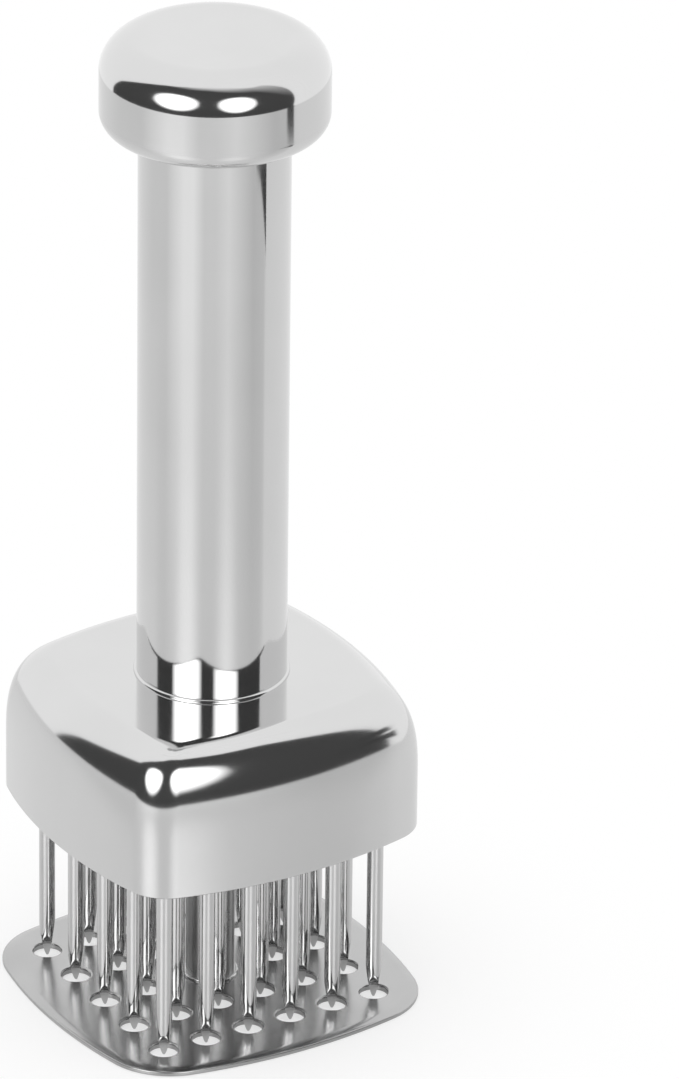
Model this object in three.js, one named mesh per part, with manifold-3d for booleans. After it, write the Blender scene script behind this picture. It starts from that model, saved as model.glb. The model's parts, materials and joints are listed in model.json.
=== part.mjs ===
// Needle meat tenderizer, pressed by hand, all stainless steel. Millimetres, +Z up.
// The origin is the middle of the base plate's underside. X runs along the rows of six needles.
//
// The base plate and its post stand on the meat. Knob, handle, housing and needle block are one press
// head that slides down on the post against a spring, so the needles pass through the plate's holes.

import * as THREE from 'three';
import { mergeVertices } from 'three/addons/utils/BufferGeometryUtils.js';
import Module from 'manifold-3d';

const wasm = await Module();
wasm.setup();

// Driving dimensions

const plate = {
  borderX: 1.05, borderY: 0.65, // how far its bulged sides lie outside the housing's
  sideRadius: 93,
  cornerRadius: 12.3,
  thickness: 1.1,
  edgeRound: 0.28,
  holeDiameter: 4.8,
};

const grid = { countX: 6, countY: 5 };

const needle = {
  edgeDistanceX: 9.55, // from the outermost needles' axes to the housing's sides
  edgeDistanceY: 9.7,
  diameter: 2.6,
  tipSink: 0.6, // the tip waits this far below the plate's top face
  tipFlat: 0.2,
  broadGround: 5.3, // height of the two long flats above the plate's top face
  narrowGround: 4.4, // height of the two short flats
  flatTurnDeg: -30, // the long flats face this way round from +X
  headDiameter: 4.2,
  headHeight: 1.3,
};

const housing = {
  halfX: 29.8, halfY: 29.5, // from the middle to the middle of each bulged side
  sideRadius: 84,
  rimCornerRadius: 8,
  crownCornerRadius: 7,
  height: 25.3,
  openGap: 31.9, // from the plate's top face to the rim, at rest
  wall: 1,
  crownInset: 7.2, // how far the top edge's curve runs in over the top
  crownDrop: 11.7, // and how far it runs down the skirt
  rimRound: 0.25,
};

const carrier = { rimRecess: 1.4, thickness: 6, screwHoleDiameter: 3 };
const backing = { margin: 2.9, thickness: 2 }; // its edge lies this margin inside the carrier's

const tube = { diameter: 25, wall: 1, visibleLength: 98.1 };

const seamBead = { width: 0.45, height: 0.5 };

const knob = {
  diameter: 37.7,
  height: 16,
  wall: 1.2,
  topRound: 5.95,
  bottomRound: 3.3,
  lipWidth: 0.6, // flat part of the turned-in lower lip
};

const knobFloor = { thickness: 1 };
const knobPlug = { flangeDiameter: 28, flangeHeight: 3.2, length: 14, spigotDiameter: 12.4, spigotLength: 4 };

const post = { diameter: 8.2, spigotDiameter: 5, threadDiameter: 6, threadReach: 1, chamfer: 0.4 };
const postBead = { width: 0.7, height: 0.55 };

const bush = { flangeAcrossFlats: 13.6, flangeHeight: 1.2, outerDiameter: 11 };
const footPlug = { length: 11 };

const stopWasher = { diameter: 21.2, thickness: 1.8 };
const stopNut = { acrossFlats: 10, height: 5 };

const screw = { threadDiameter: 2.8, length: 6, headDiameter: 5.5, headHeight: 1.8, headDome: 0.6,
  socketDiameter: 2.4, socketDepth: 1 };

const spring = { wire: 1.6, meanDiameter: 17.4, openTurns: 14, closedTurns: 1.25, closedPitch: 2.2 };

// Clearances
const turnedFit = 0.1; // radial, between turned pieces
const needleFit = 0.05; // radial, needle in the carrier
const skirtFit = 0.3; // between the carrier's edge and the housing's inner wall
const tubeHoleFit = 0.15; // radial, tube in the housing's hole
const headPlay = 0.3; // needle head under the backing plate
const stopGap = 0.2; // stop washer above the foot plug
const endGap = 0.3; // spring ends and their seats
const overrun = 1; // how far a cutting block reaches past what it cuts

// Facet counts
const roundSides = 32;
const postSides = 24;
const needleSides = 10;
const holeSides = 12;
const screwSides = 8;
const hexSides = 6;
const needleFlats = 4;
const sideSegments = 4;
const cornerSegments = 5;
const filletSegments = 4;
const innerSegments = 2;
const beadSegments = 3;
const coilSteps = 8;
const wireSides = 5;
const cornerPasses = 40; // rounds of the search for a corner's centre

// Levels up the axis
const plateTop = plate.thickness;
const rimZ = plateTop + housing.openGap;
const crownZ = rimZ + housing.height;
const carrierZ = rimZ + carrier.rimRecess;
const carrierTop = carrierZ + carrier.thickness;
const backingTop = carrierTop + backing.thickness;
const footPlugTop = backingTop + footPlug.length;
const washerZ = footPlugTop + stopGap;
const washerTop = washerZ + stopWasher.thickness;
const nutTop = washerTop + stopNut.height;
const knobZ = crownZ + tube.visibleLength;
const knobTop = knobZ + knob.height;
const plugFlangeTop = knobTop - knob.wall;
const tubeTop = plugFlangeTop - knobPlug.flangeHeight;
const plugZ = tubeTop - knobPlug.length;
const needleHeadZ = carrierTop - headPlay - needle.headHeight;

// Places and radii across the axis
const pitchX = (2 * (housing.halfX - needle.edgeDistanceX)) / (grid.countX - 1);
const pitchY = (2 * (housing.halfY - needle.edgeDistanceY)) / (grid.countY - 1);
const tubeRadius = tube.diameter / 2;
const tubeBore = tubeRadius - tube.wall;

// Steel finishes
const polished = new THREE.MeshStandardMaterial({ color: 0xc9cbcd, roughness: 0.12, metalness: 1 });
const satin = new THREE.MeshStandardMaterial({ color: 0xb9bbbd, roughness: 0.3, metalness: 1 });
const turnedSteel = new THREE.MeshStandardMaterial({ color: 0xa9abad, roughness: 0.35, metalness: 1 });
const springSteel = new THREE.MeshStandardMaterial({ color: 0x8f9296, roughness: 0.3, metalness: 1 });

// Shape helpers

const radians = THREE.MathUtils.degToRad;

// Corner places of a bulged square: each corner circle touches both side circles from within.
function cornerCentre(halfX, halfY, sideRadius, cornerRadius) {
  const reach = sideRadius - cornerRadius;
  let x = halfX - cornerRadius;
  let y = halfY - cornerRadius;
  for (let pass = 0; pass < cornerPasses; pass += 1) {
    x = halfX - sideRadius + Math.sqrt(reach * reach - y * y);
    y = halfY - sideRadius + Math.sqrt(reach * reach - x * x);
  }
  return { x, y };
}

function arc(cx, cy, radius, from, to, segments) {
  return Array.from({ length: segments }, (_, i) => {
    const angle = from + ((to - from) * i) / segments;
    return new THREE.Vector2(cx + radius * Math.cos(angle), cy + radius * Math.sin(angle));
  });
}

// Outline of a square with bulged sides and round corners, anticlockwise from the middle of the +X side.
// The inset draws it in all round, and the corner keeps the radius it is given.
function bulgedSquare({ halfX, halfY, sideRadius, cornerRadius }, inset = 0) {
  const hx = halfX - inset;
  const hy = halfY - inset;
  const side = sideRadius - inset;
  const { x, y } = cornerCentre(hx, hy, side, cornerRadius);
  const low = Math.atan2(y, x - hx + side);
  const high = Math.PI / 2 - Math.atan2(x, y - hy + side);
  const quarter = [
    ...arc(hx - side, 0, side, 0, low, sideSegments),
    ...arc(x, y, cornerRadius, low, high, cornerSegments),
    ...arc(0, hy - side, side, high, Math.PI / 2, sideSegments),
    new THREE.Vector2(0, hy),
  ];
  const last = quarter.length - 1;
  const mirrored = quarter.map((p) => new THREE.Vector2(-p.x, p.y)).reverse();
  const half = [...quarter.slice(0, last), ...mirrored.slice(0, last)];
  return [...half, ...half.map((p) => new THREE.Vector2(-p.x, -p.y))];
}

// The housing's rim outline, drawn in all round by the inset.
function housingOutline(inset) {
  return bulgedSquare({ ...housing, cornerRadius: housing.rimCornerRadius - inset }, inset);
}

function plateOutline(inset) {
  const halfX = housing.halfX + plate.borderX;
  const halfY = housing.halfY + plate.borderY;
  return bulgedSquare({ ...plate, halfX, halfY }, inset);
}

function circle(radius, sides, cx = 0, cy = 0) {
  return arc(cx, cy, radius, 0, 2 * Math.PI, sides);
}

// A hexagon with two flats square to X.
function hexagon(acrossFlats) {
  const start = Math.PI / hexSides;
  return arc(0, 0, acrossFlats / 2 / Math.cos(start), start, start + 2 * Math.PI, hexSides);
}

// Collects rings of points and the faces between them.
class Skin {
  constructor() {
    this.positions = [];
    this.faces = [];
  }

  ring(points, z) {
    const start = this.positions.length / 3;
    for (const p of points) this.positions.push(p.x, p.y, z);
    return { start, count: points.length };
  }

  // Faces from ring a to ring b, outward where the rings run anticlockwise and b lies above a.
  strip(a, b) {
    for (let i = 0; i < a.count; i += 1) {
      const j = (i + 1) % a.count;
      this.faces.push(a.start + i, a.start + j, b.start + j, a.start + i, b.start + j, b.start + i);
    }
  }

  strips(rings) {
    for (let i = 1; i < rings.length; i += 1) this.strip(rings[i - 1], rings[i]);
  }

  // A flat face with holes; up says which way it looks.
  cap(outline, holes, outlineRing, holeRings, up) {
    const index = [outlineRing, ...holeRings].flatMap((r) => Array.from({ length: r.count }, (_, i) => r.start + i));
    const points = [outline, ...holes].flat();
    for (const [a, b, c] of THREE.ShapeUtils.triangulateShape([...outline], holes.map((h) => [...h]))) {
      const turn = (points[b].x - points[a].x) * (points[c].y - points[a].y)
        - (points[b].y - points[a].y) * (points[c].x - points[a].x);
      const swap = turn > 0 !== up;
      this.faces.push(index[a], index[swap ? c : b], index[swap ? b : c]);
    }
  }

  geometry() {
    const geometry = new THREE.BufferGeometry();
    geometry.setAttribute('position', new THREE.Float32BufferAttribute(this.positions, 3));
    geometry.setIndex(this.faces);
    return geometry;
  }
}

// A flat plate. The edge is a list of [z, inset] and each bore a list of [z, radius], both from below.
function drilledPlate(outlineAt, edge, bores) {
  const skin = new Skin();
  const outlines = edge.map(([, inset]) => outlineAt(inset));
  const rim = edge.map(([z], i) => skin.ring(outlines[i], z));
  skin.strips(rim);
  const walls = bores.map(({ x, y, sides, profile }) => {
    const circles = profile.map(([, radius]) => circle(radius, sides, x, y));
    const rings = profile.map(([z], i) => skin.ring(circles[i], z));
    skin.strips([...rings].reverse());
    return { circles, rings };
  });
  const low = walls.map((w) => w.circles[0]);
  const high = walls.map((w) => w.circles.at(-1));
  skin.cap(outlines[0], low, rim[0], walls.map((w) => w.rings[0]), false);
  skin.cap(outlines.at(-1), high, rim.at(-1), walls.map((w) => w.rings.at(-1)), true);
  return skin.geometry();
}

// Turns a profile of [radius, z] points about the Z axis, with the first corner towards +X.
function turned(profile, sides) {
  const points = profile.map(([r, z]) => new THREE.Vector2(r, z));
  return new THREE.LatheGeometry(points, sides).rotateX(Math.PI / 2).rotateZ(Math.PI / 2);
}

function ringProfile(inner, outer, low, high) {
  return [[inner, low], [outer, low], [outer, high], [inner, high], [inner, low]];
}

// Quarter round from one angle to another as [radius, z] points.
function quarterRound(cr, cz, radius, from, to, segments) {
  return Array.from({ length: segments + 1 }, (_, i) => {
    const angle = radians(from + ((to - from) * i) / segments);
    return [cr + radius * Math.cos(angle), cz + radius * Math.sin(angle)];
  });
}

function toManifold(geometry) {
  const bare = geometry.clone();
  bare.deleteAttribute('normal');
  bare.deleteAttribute('uv');
  const merged = mergeVertices(bare);
  const vertProperties = merged.attributes.position.array;
  const triVerts = Uint32Array.from(merged.index.array);
  return new wasm.Manifold(new wasm.Mesh({ numProp: 3, vertProperties, triVerts }));
}

function fromManifold(solid) {
  const mesh = solid.getMesh();
  const geometry = new THREE.BufferGeometry();
  geometry.setAttribute('position', new THREE.Float32BufferAttribute(Array.from(mesh.vertProperties), 3));
  geometry.setIndex(Array.from(mesh.triVerts));
  return geometry;
}

const tenderizer = new THREE.Group();

function addPiece(parent, name, geometry, material) {
  const piece = new THREE.Mesh(geometry, material);
  piece.name = name;
  parent.add(piece);
  return piece;
}

// Needle places: every grid place but the two in the middle of the middle row, where the post stands.

function needlePlaces() {
  const places = [];
  const middleRow = (grid.countY - 1) / 2;
  const middleColumn = (grid.countX - 1) / 2;
  for (let row = 0; row < grid.countY; row += 1) {
    for (let column = 0; column < grid.countX; column += 1) {
      const taken = row === middleRow && Math.abs(column - middleColumn) < 1;
      const x = (column - middleColumn) * pitchX;
      const y = (row - middleRow) * pitchY;
      if (!taken) places.push({ row, column, x, y });
    }
  }
  return places;
}

const places = needlePlaces();

// Base: plate, post, stop

function makeBasePlate() {
  const round = plate.edgeRound;
  const edge = [[0, round], [round, 0], [plateTop - round, 0], [plateTop, round]];
  const needleHole = plate.holeDiameter / 2;
  const spigotHole = post.spigotDiameter / 2 + turnedFit;
  const punched = [[0, needleHole], [plateTop - round, needleHole], [plateTop, needleHole + round]];
  const bores = places.map(({ x, y }) => ({ x, y, sides: holeSides, profile: punched }));
  bores.push({ x: 0, y: 0, sides: postSides, profile: [[0, spigotHole], [plateTop, spigotHole]] });
  return drilledPlate(plateOutline, edge, bores);
}

// Post: spigot through the plate, plain shank, and a threaded end above the shoulder that takes the stop.
function makePost() {
  const shank = post.diameter / 2;
  const thread = post.threadDiameter / 2;
  const end = nutTop + post.threadReach;
  return turned([
    [0, 0], [post.spigotDiameter / 2, 0], [post.spigotDiameter / 2, plateTop], [shank, plateTop],
    [shank, washerZ - post.chamfer], [shank - post.chamfer, washerZ], [thread, washerZ],
    [thread, end - post.chamfer], [thread - post.chamfer, end], [0, end],
  ], postSides);
}

// A weld bead: a quarter round between a turned wall and the flat that it stands on.
function makeBead(wallRadius, z, width, height, sides) {
  const inner = wallRadius + turnedFit / 2;
  const crest = Array.from({ length: beadSegments + 1 }, (_, i) => {
    const angle = (i * Math.PI) / 2 / beadSegments;
    return [inner + width * Math.cos(angle), z + height * Math.sin(angle)];
  });
  return turned([[inner, z], ...crest, [inner, z]], sides);
}

function makeStopWasher() {
  const bore = post.threadDiameter / 2 + turnedFit;
  return turned(ringProfile(bore, stopWasher.diameter / 2, washerZ, washerTop), roundSides);
}

function makeStopNut() {
  const bore = post.threadDiameter / 2 + turnedFit;
  const profile = [[washerTop, bore], [nutTop, bore]];
  return drilledPlate(() => hexagon(stopNut.acrossFlats), [[washerTop, 0], [nutTop, 0]],
    [{ x: 0, y: 0, sides: postSides, profile }]);
}

// Return spring: one wire wound as a helix, close wound at both ends, open between them.

function springRise(turn) {
  const low = washerTop + endGap + spring.wire / 2;
  const high = plugZ - endGap - spring.wire / 2;
  const closedRise = spring.closedTurns * spring.closedPitch;
  const openPitch = (high - low - 2 * closedRise) / spring.openTurns;
  if (turn < spring.closedTurns) return low + turn * spring.closedPitch;
  const opened = turn - spring.closedTurns;
  if (opened < spring.openTurns) return low + closedRise + opened * openPitch;
  return high - (spring.openTurns + 2 * spring.closedTurns - turn) * spring.closedPitch;
}

function makeSpring() {
  const turns = spring.openTurns + 2 * spring.closedTurns;
  const steps = turns * coilSteps;
  const coil = spring.meanDiameter / 2;
  const wire = spring.wire / 2;
  const sections = Array.from({ length: steps + 1 }, (_, i) => {
    const turn = i / coilSteps;
    const angle = turn * 2 * Math.PI;
    const centre = new THREE.Vector3(coil * Math.cos(angle), coil * Math.sin(angle), springRise(turn));
    const out = new THREE.Vector3(Math.cos(angle), Math.sin(angle), 0);
    return Array.from({ length: wireSides }, (__, k) => {
      const around = (k * 2 * Math.PI) / wireSides;
      const point = centre.clone().addScaledVector(out, wire * Math.cos(around));
      return point.setZ(point.z + wire * Math.sin(around));
    });
  });
  const positions = sections.flat().flatMap((p) => p.toArray());
  const faces = [];
  for (let i = 0; i < steps; i += 1) {
    for (let k = 0; k < wireSides; k += 1) {
      const a = i * wireSides + k;
      const b = i * wireSides + ((k + 1) % wireSides);
      faces.push(a, a + wireSides, b, b, a + wireSides, b + wireSides);
    }
  }
  const lastStart = steps * wireSides;
  for (let k = 1; k < wireSides - 1; k += 1) {
    faces.push(0, k, k + 1);
    faces.push(lastStart, lastStart + k + 1, lastStart + k);
  }
  const geometry = new THREE.BufferGeometry();
  geometry.setAttribute('position', new THREE.Float32BufferAttribute(positions, 3));
  geometry.setIndex(faces);
  console.log(`least gap of the spring to itself: ${springGap(sections).toFixed(2)} mm`);
  return geometry;
}

// Least distance between points of the wire's surface that lie more than half a turn apart along it.
function springGap(sections) {
  let least = Infinity;
  for (let i = 0; i < sections.length; i += 1) {
    const end = Math.min(sections.length, i + 2 * coilSteps);
    for (let j = i + coilSteps / 2; j < end; j += 1) {
      for (const a of sections[i]) {
        for (const b of sections[j]) least = Math.min(least, a.distanceTo(b));
      }
    }
  }
  return least;
}

// Press head: housing, needle block, handle, knob

// The housing's outline and height at one level of its curved top edge. The turn runs from 0 on the skirt
// to a right angle at the flat top; the skin side is 0 for the outer face and 1 for the inner.
function crownLevel(turn, skinSide) {
  const shell = housing.wall * skinSide;
  const inset = shell + (housing.crownInset - shell) * (1 - Math.cos(turn));
  const z = crownZ - housing.crownDrop + (housing.crownDrop - shell) * Math.sin(turn);
  const corner = THREE.MathUtils.lerp(housing.rimCornerRadius - shell, housing.crownCornerRadius,
    1 - Math.cos(turn));
  return { outline: bulgedSquare({ ...housing, cornerRadius: corner }, inset), z };
}

// Deep-drawn shell, open below: rim, skirt, curved top edge, flat top with the tube's hole, and back inside.
function makeHousing() {
  const skin = new Skin();
  const { wall, rimRound } = housing;
  const crown = (skinSide, segments) => Array.from({ length: segments + 1 },
    (_, i) => crownLevel((i * Math.PI) / 2 / segments, skinSide));
  const outer = crown(0, filletSegments);
  const inner = crown(1, innerSegments).reverse();
  const hole = tubeRadius + tubeHoleFit;
  const holeRing = (like) => like.map((p) => p.clone().setLength(hole));
  const levels = [
    { outline: housingOutline(rimRound), z: rimZ },
    { outline: housingOutline(0), z: rimZ + rimRound },
    ...outer,
    { outline: holeRing(outer.at(-1).outline), z: crownZ },
    { outline: holeRing(inner[0].outline), z: crownZ - wall },
    ...inner,
    { outline: housingOutline(wall), z: rimZ + rimRound },
    { outline: housingOutline(wall - rimRound), z: rimZ },
  ];
  const rings = levels.map(({ outline, z }) => skin.ring(outline, z));
  skin.strips([...rings, rings[0]]);
  return skin.geometry();
}

// Each screw stands in the middle of the four needles at its corner of the grid.
function screwPlaces() {
  const x = (grid.countX / 2 - 1) * pitchX;
  const y = (grid.countY / 2 - 1) * pitchY;
  return [[x, y], [-x, y], [-x, -y], [x, -y]].map(([sx, sy]) => ({ x: sx, y: sy }));
}

// Carrier: fills the housing's mouth, with a bore and a head recess for each needle.
function makeCarrier() {
  const inset = housing.wall + skirtFit;
  const edge = [[carrierZ, inset], [carrierTop, inset]];
  const bore = needle.diameter / 2 + needleFit;
  const recess = needle.headDiameter / 2 + turnedFit;
  const profile = [[carrierZ, bore], [needleHeadZ, bore], [needleHeadZ, recess], [carrierTop, recess]];
  const bores = places.map(({ x, y }) => ({ x, y, sides: needleSides, profile }));
  const sleeve = bush.outerDiameter / 2 + turnedFit;
  bores.push({ x: 0, y: 0, sides: postSides, profile: [[carrierZ, sleeve], [carrierTop, sleeve]] });
  const tapped = carrier.screwHoleDiameter / 2;
  for (const place of screwPlaces()) {
    bores.push({ ...place, sides: screwSides, profile: [[carrierZ, tapped], [carrierTop, tapped]] });
  }
  return drilledPlate(housingOutline, edge, bores);
}

// Backing plate: lies on the carrier and holds the needle heads down in their recesses.
function makeBackingPlate() {
  const inset = housing.wall + skirtFit + backing.margin;
  const edge = [[carrierTop, inset], [backingTop, inset]];
  const sleeve = bush.outerDiameter / 2 + turnedFit;
  const bores = [{ x: 0, y: 0, sides: postSides, profile: [[carrierTop, sleeve], [backingTop, sleeve]] }];
  const clear = screw.threadDiameter / 2 + turnedFit;
  for (const place of screwPlaces()) {
    bores.push({ ...place, sides: screwSides, profile: [[carrierTop, clear], [backingTop, clear]] });
  }
  return drilledPlate(housingOutline, edge, bores);
}

function makeScrew() {
  const thread = screw.threadDiameter / 2;
  const head = screw.headDiameter / 2;
  const socket = screw.socketDiameter / 2;
  const top = backingTop + screw.headHeight;
  return turned([
    [0, backingTop - screw.length], [thread, backingTop - screw.length], [thread, backingTop],
    [head, backingTop], [head, top - screw.headDome], [head - screw.headDome, top], [socket, top],
    [socket, top - screw.socketDepth], [0, top - screw.socketDepth],
  ], screwSides);
}

// Guide bush: hexagon flange under the carrier, sleeve up through the block into the foot plug.
function makeBush() {
  const bore = post.diameter / 2 + turnedFit;
  const flangeZ = carrierZ - bush.flangeHeight;
  const flange = drilledPlate(() => hexagon(bush.flangeAcrossFlats), [[flangeZ, 0], [carrierZ, 0]],
    [{ x: 0, y: 0, sides: postSides, profile: [[flangeZ, bore], [carrierZ, bore]] }]);
  const sleeveFoot = carrierZ - bush.flangeHeight / 2;
  const sleeveTop = footPlugTop - turnedFit;
  const sleeve = turned(ringProfile(bore, bush.outerDiameter / 2, sleeveFoot, sleeveTop), postSides);
  return fromManifold(toManifold(flange).add(toManifold(sleeve)));
}

function makeFootPlug() {
  const bore = bush.outerDiameter / 2 + turnedFit;
  return turned(ringProfile(bore, tubeBore - turnedFit, backingTop, footPlugTop), roundSides);
}

function makeTube() {
  return turned(ringProfile(tubeBore, tubeRadius, backingTop, tubeTop), roundSides);
}

// Knob cap: a drawn cup, open below, with the lower edge turned in to a narrow lip.
function makeKnobCap() {
  const radius = knob.diameter / 2;
  const { wall, topRound, bottomRound, lipWidth } = knob;
  const lip = radius - bottomRound - lipWidth;
  return turned([
    [0, knobTop - wall],
    ...quarterRound(radius - topRound, knobTop - topRound, topRound - wall, 90, 0, innerSegments),
    ...quarterRound(radius - bottomRound, knobZ + bottomRound, bottomRound - wall, 0, -90, innerSegments),
    [lip, knobZ + wall],
    [lip, knobZ],
    ...quarterRound(radius - bottomRound, knobZ + bottomRound, bottomRound, -90, 0, filletSegments),
    ...quarterRound(radius - topRound, knobTop - topRound, topRound, 0, 90, filletSegments),
    [0, knobTop],
  ], roundSides);
}

function makeKnobFloor() {
  const low = knobZ + knob.wall + turnedFit;
  const outer = knob.diameter / 2 - knob.bottomRound;
  return turned(ringProfile(tubeRadius + turnedFit, outer, low, low + knobFloor.thickness), roundSides);
}

// Knob plug: flange under the cap's top, chamfered to clear its round edge, body in the tube's end, and a
// spigot that centres the spring.
function makeKnobPlug() {
  const spigot = knobPlug.spigotDiameter / 2;
  const spigotZ = plugZ - knobPlug.spigotLength;
  const flange = knobPlug.flangeDiameter / 2;
  const flat = knob.diameter / 2 - knob.topRound;
  const body = tubeBore - turnedFit;
  return turned([
    [0, spigotZ], [spigot, spigotZ], [spigot, plugZ], [body, plugZ], [body, tubeTop],
    [flange, tubeTop], [flange, plugFlangeTop - (flange - flat)], [flat, plugFlangeTop], [0, plugFlangeTop],
  ], roundSides);
}

// Needle: head, shank, and four flats ground to a point, two long ones and two short ones between them.
function makeNeedle() {
  const radius = needle.diameter / 2;
  const tip = plateTop - needle.tipSink;
  const half = needle.tipFlat / 2;
  const head = needle.headDiameter / 2;
  const blank = turned([
    [0, tip], [radius, tip], [radius, needleHeadZ], [head, needleHeadZ],
    [head, needleHeadZ + needle.headHeight], [0, needleHeadZ + needle.headHeight],
  ], needleSides);
  let solid = toManifold(blank);
  for (let flat = 0; flat < needleFlats; flat += 1) {
    const top = plateTop + (flat % 2 === 0 ? needle.broadGround : needle.narrowGround);
    const height = top - tip;
    const length = 2 * (height + overrun);
    const block = new THREE.BoxGeometry(needle.diameter, needle.diameter + 2 * overrun, length)
      .translate(radius, 0, 0)
      .rotateY(Math.atan2(radius - half, height))
      .translate(half, 0, tip)
      .rotateZ(radians(needle.flatTurnDeg) + (flat * 2 * Math.PI) / needleFlats);
    solid = solid.subtract(toManifold(block));
  }
  return fromManifold(solid);
}

// Assembly

const base = new THREE.Group();
const pressHead = new THREE.Group();
tenderizer.add(base, pressHead);

addPiece(base, 'base_plate', makeBasePlate(), satin);
addPiece(base, 'centre_post', makePost(), polished);
addPiece(base, 'post_weld_bead',
  makeBead(post.diameter / 2, plateTop, postBead.width, postBead.height, postSides), polished);
addPiece(base, 'stop_washer', makeStopWasher(), turnedSteel);
addPiece(base, 'stop_nut', makeStopNut(), turnedSteel);
addPiece(base, 'return_spring', makeSpring(), springSteel);

addPiece(pressHead, 'housing_shell', makeHousing(), polished);
addPiece(pressHead, 'needle_carrier', makeCarrier(), satin);
addPiece(pressHead, 'backing_plate', makeBackingPlate(), satin);
addPiece(pressHead, 'guide_bush', makeBush(), turnedSteel);
addPiece(pressHead, 'tube_foot_plug', makeFootPlug(), turnedSteel);
addPiece(pressHead, 'handle_tube', makeTube(), polished);
addPiece(pressHead, 'seam_bead',
  makeBead(tubeRadius, crownZ, seamBead.width, seamBead.height, roundSides), polished);
addPiece(pressHead, 'knob_cap', makeKnobCap(), polished);
addPiece(pressHead, 'knob_floor', makeKnobFloor(), polished);
addPiece(pressHead, 'knob_plug', makeKnobPlug(), turnedSteel);

const screwGeometry = makeScrew();
screwPlaces().forEach(({ x, y }, i) => {
  addPiece(pressHead, `carrier_screw_${i + 1}`, screwGeometry, turnedSteel).position.set(x, y, 0);
});

const needleGeometry = makeNeedle();
for (const { row, column, x, y } of places) {
  addPiece(pressHead, `needle_${column + 1}_${row + 1}`, needleGeometry, polished).position.set(x, y, 0);
}

export default tenderizer;
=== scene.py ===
import json
import logging
import math
from dataclasses import dataclass
from enum import Enum
from typing import Any

import bmesh
import bpy
import numpy as np
from mathutils import Matrix, Vector


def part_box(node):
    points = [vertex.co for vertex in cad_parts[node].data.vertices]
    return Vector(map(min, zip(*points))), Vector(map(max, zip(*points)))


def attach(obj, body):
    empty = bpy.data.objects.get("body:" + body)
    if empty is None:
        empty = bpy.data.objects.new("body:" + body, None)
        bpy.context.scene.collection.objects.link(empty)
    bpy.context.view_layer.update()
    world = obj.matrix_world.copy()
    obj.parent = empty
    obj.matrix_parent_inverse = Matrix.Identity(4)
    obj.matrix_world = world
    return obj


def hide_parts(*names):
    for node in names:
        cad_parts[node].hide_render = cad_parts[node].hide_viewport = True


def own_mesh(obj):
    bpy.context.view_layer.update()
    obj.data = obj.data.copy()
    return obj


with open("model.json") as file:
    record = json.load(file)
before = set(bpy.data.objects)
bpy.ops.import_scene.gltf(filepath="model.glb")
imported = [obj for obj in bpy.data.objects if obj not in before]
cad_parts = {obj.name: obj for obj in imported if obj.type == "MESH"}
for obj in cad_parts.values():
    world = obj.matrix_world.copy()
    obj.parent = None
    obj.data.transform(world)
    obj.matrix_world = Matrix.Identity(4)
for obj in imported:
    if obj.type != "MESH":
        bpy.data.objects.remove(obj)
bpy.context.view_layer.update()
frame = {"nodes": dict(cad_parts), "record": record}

log = logging.getLogger("tenderizer")

MM = 0.001
WELD_MM = 0.002
SUPPORT_MM = 0.04
SHARP_DEG = 34.0
RING_RADIUS_MM = 12.5
NOISE_SPAN = (0.3, 0.7)
BASE = "base"
PRESS_HEAD = "press_head"


# Small helpers

def hex_colour(code: str) -> tuple[float, float, float, float]:
    """Turns an sRGB hex colour into Blender's linear colour.

    Args:
        code: The colour as "#RRGGBB".

    Returns:
        Linear red, green, blue and an alpha of 1.
    """
    srgb = np.array([int(code[i:i + 2], 16) / 255 for i in (1, 3, 5)])
    linear = np.where(srgb <= 0.04045, srgb / 12.92, ((srgb + 0.055) / 1.055) ** 2.4)
    return (*map(float, linear), 1.0)


def cad_box(node: str) -> tuple[np.ndarray, np.ndarray]:
    """Gives the lowest and highest corner of a CAD node.

    Args:
        node: The node's name.

    Returns:
        Two corners in millimetres.
    """
    low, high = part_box(node)
    return np.array(low) / MM, np.array(high) / MM


def unit_steps(count: int) -> np.ndarray:
    """Returns count numbers from 0 on, evenly spaced, that stop one step short of 1."""
    return np.arange(count) / count


# Surfaces as grids of points

def rounded(corners: list[tuple[float, float, float]], closed: bool, steps: int = 6) -> np.ndarray:
    """Works out a profile of straight runs with rounded corners.

    A corner becomes an arc that touches both runs: its centre lies on the bisector, and its points are
    turned evenly from one tangent point to the other. A point a hair's breadth outside each tangent
    point keeps the shading of the straight run flat.

    Args:
        corners: Radius from the axis, height and rounding radius of each corner.
        closed: Whether the last corner joins the first.
        steps: Segments of each arc.

    Returns:
        Points of the profile, one row each: radius from the axis and height.
    """
    places = np.array([c[:2] for c in corners], float)
    pieces = []
    for i, (place, (_, _, radius)) in enumerate(zip(places, corners)):
        ends = not closed and i in (0, len(corners) - 1)
        if ends or radius <= 0:
            pieces.append(place[None])
            continue
        back = places[i - 1] - place
        on = places[(i + 1) % len(corners)] - place
        back, on = back / np.linalg.norm(back), on / np.linalg.norm(on)
        half = math.acos(float(np.clip(back @ on, -1, 1))) / 2
        reach = radius / math.tan(half)
        bisector = (back + on) / np.linalg.norm(back + on)
        centre = place + bisector * radius / math.sin(half)
        first, last = place + back * reach - centre, place + on * reach - centre
        turn = math.pi - 2 * half
        t = np.linspace(0, 1, steps + 1)[:, None]
        arc = centre + (np.sin((1 - t) * turn) * first + np.sin(t * turn) * last) / math.sin(turn)
        reach += SUPPORT_MM
        pieces.append(np.vstack([place + back * reach, arc, place + on * reach]))
    return np.vstack(pieces)


def revolve(profile: np.ndarray, columns: int) -> np.ndarray:
    """Turns a profile round the Z axis: x = r cos a, y = r sin a, z = height.

    Args:
        profile: Radius and height of each row.
        columns: Points round the axis.

    Returns:
        Grid of rows by columns by 3.
    """
    angle = 2 * math.pi * unit_steps(columns)
    radius, height = profile[:, 0, None], profile[:, 1, None]
    return np.stack([radius * np.cos(angle), radius * np.sin(angle),
                     np.broadcast_to(height, (len(profile), columns))], axis=-1)


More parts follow.
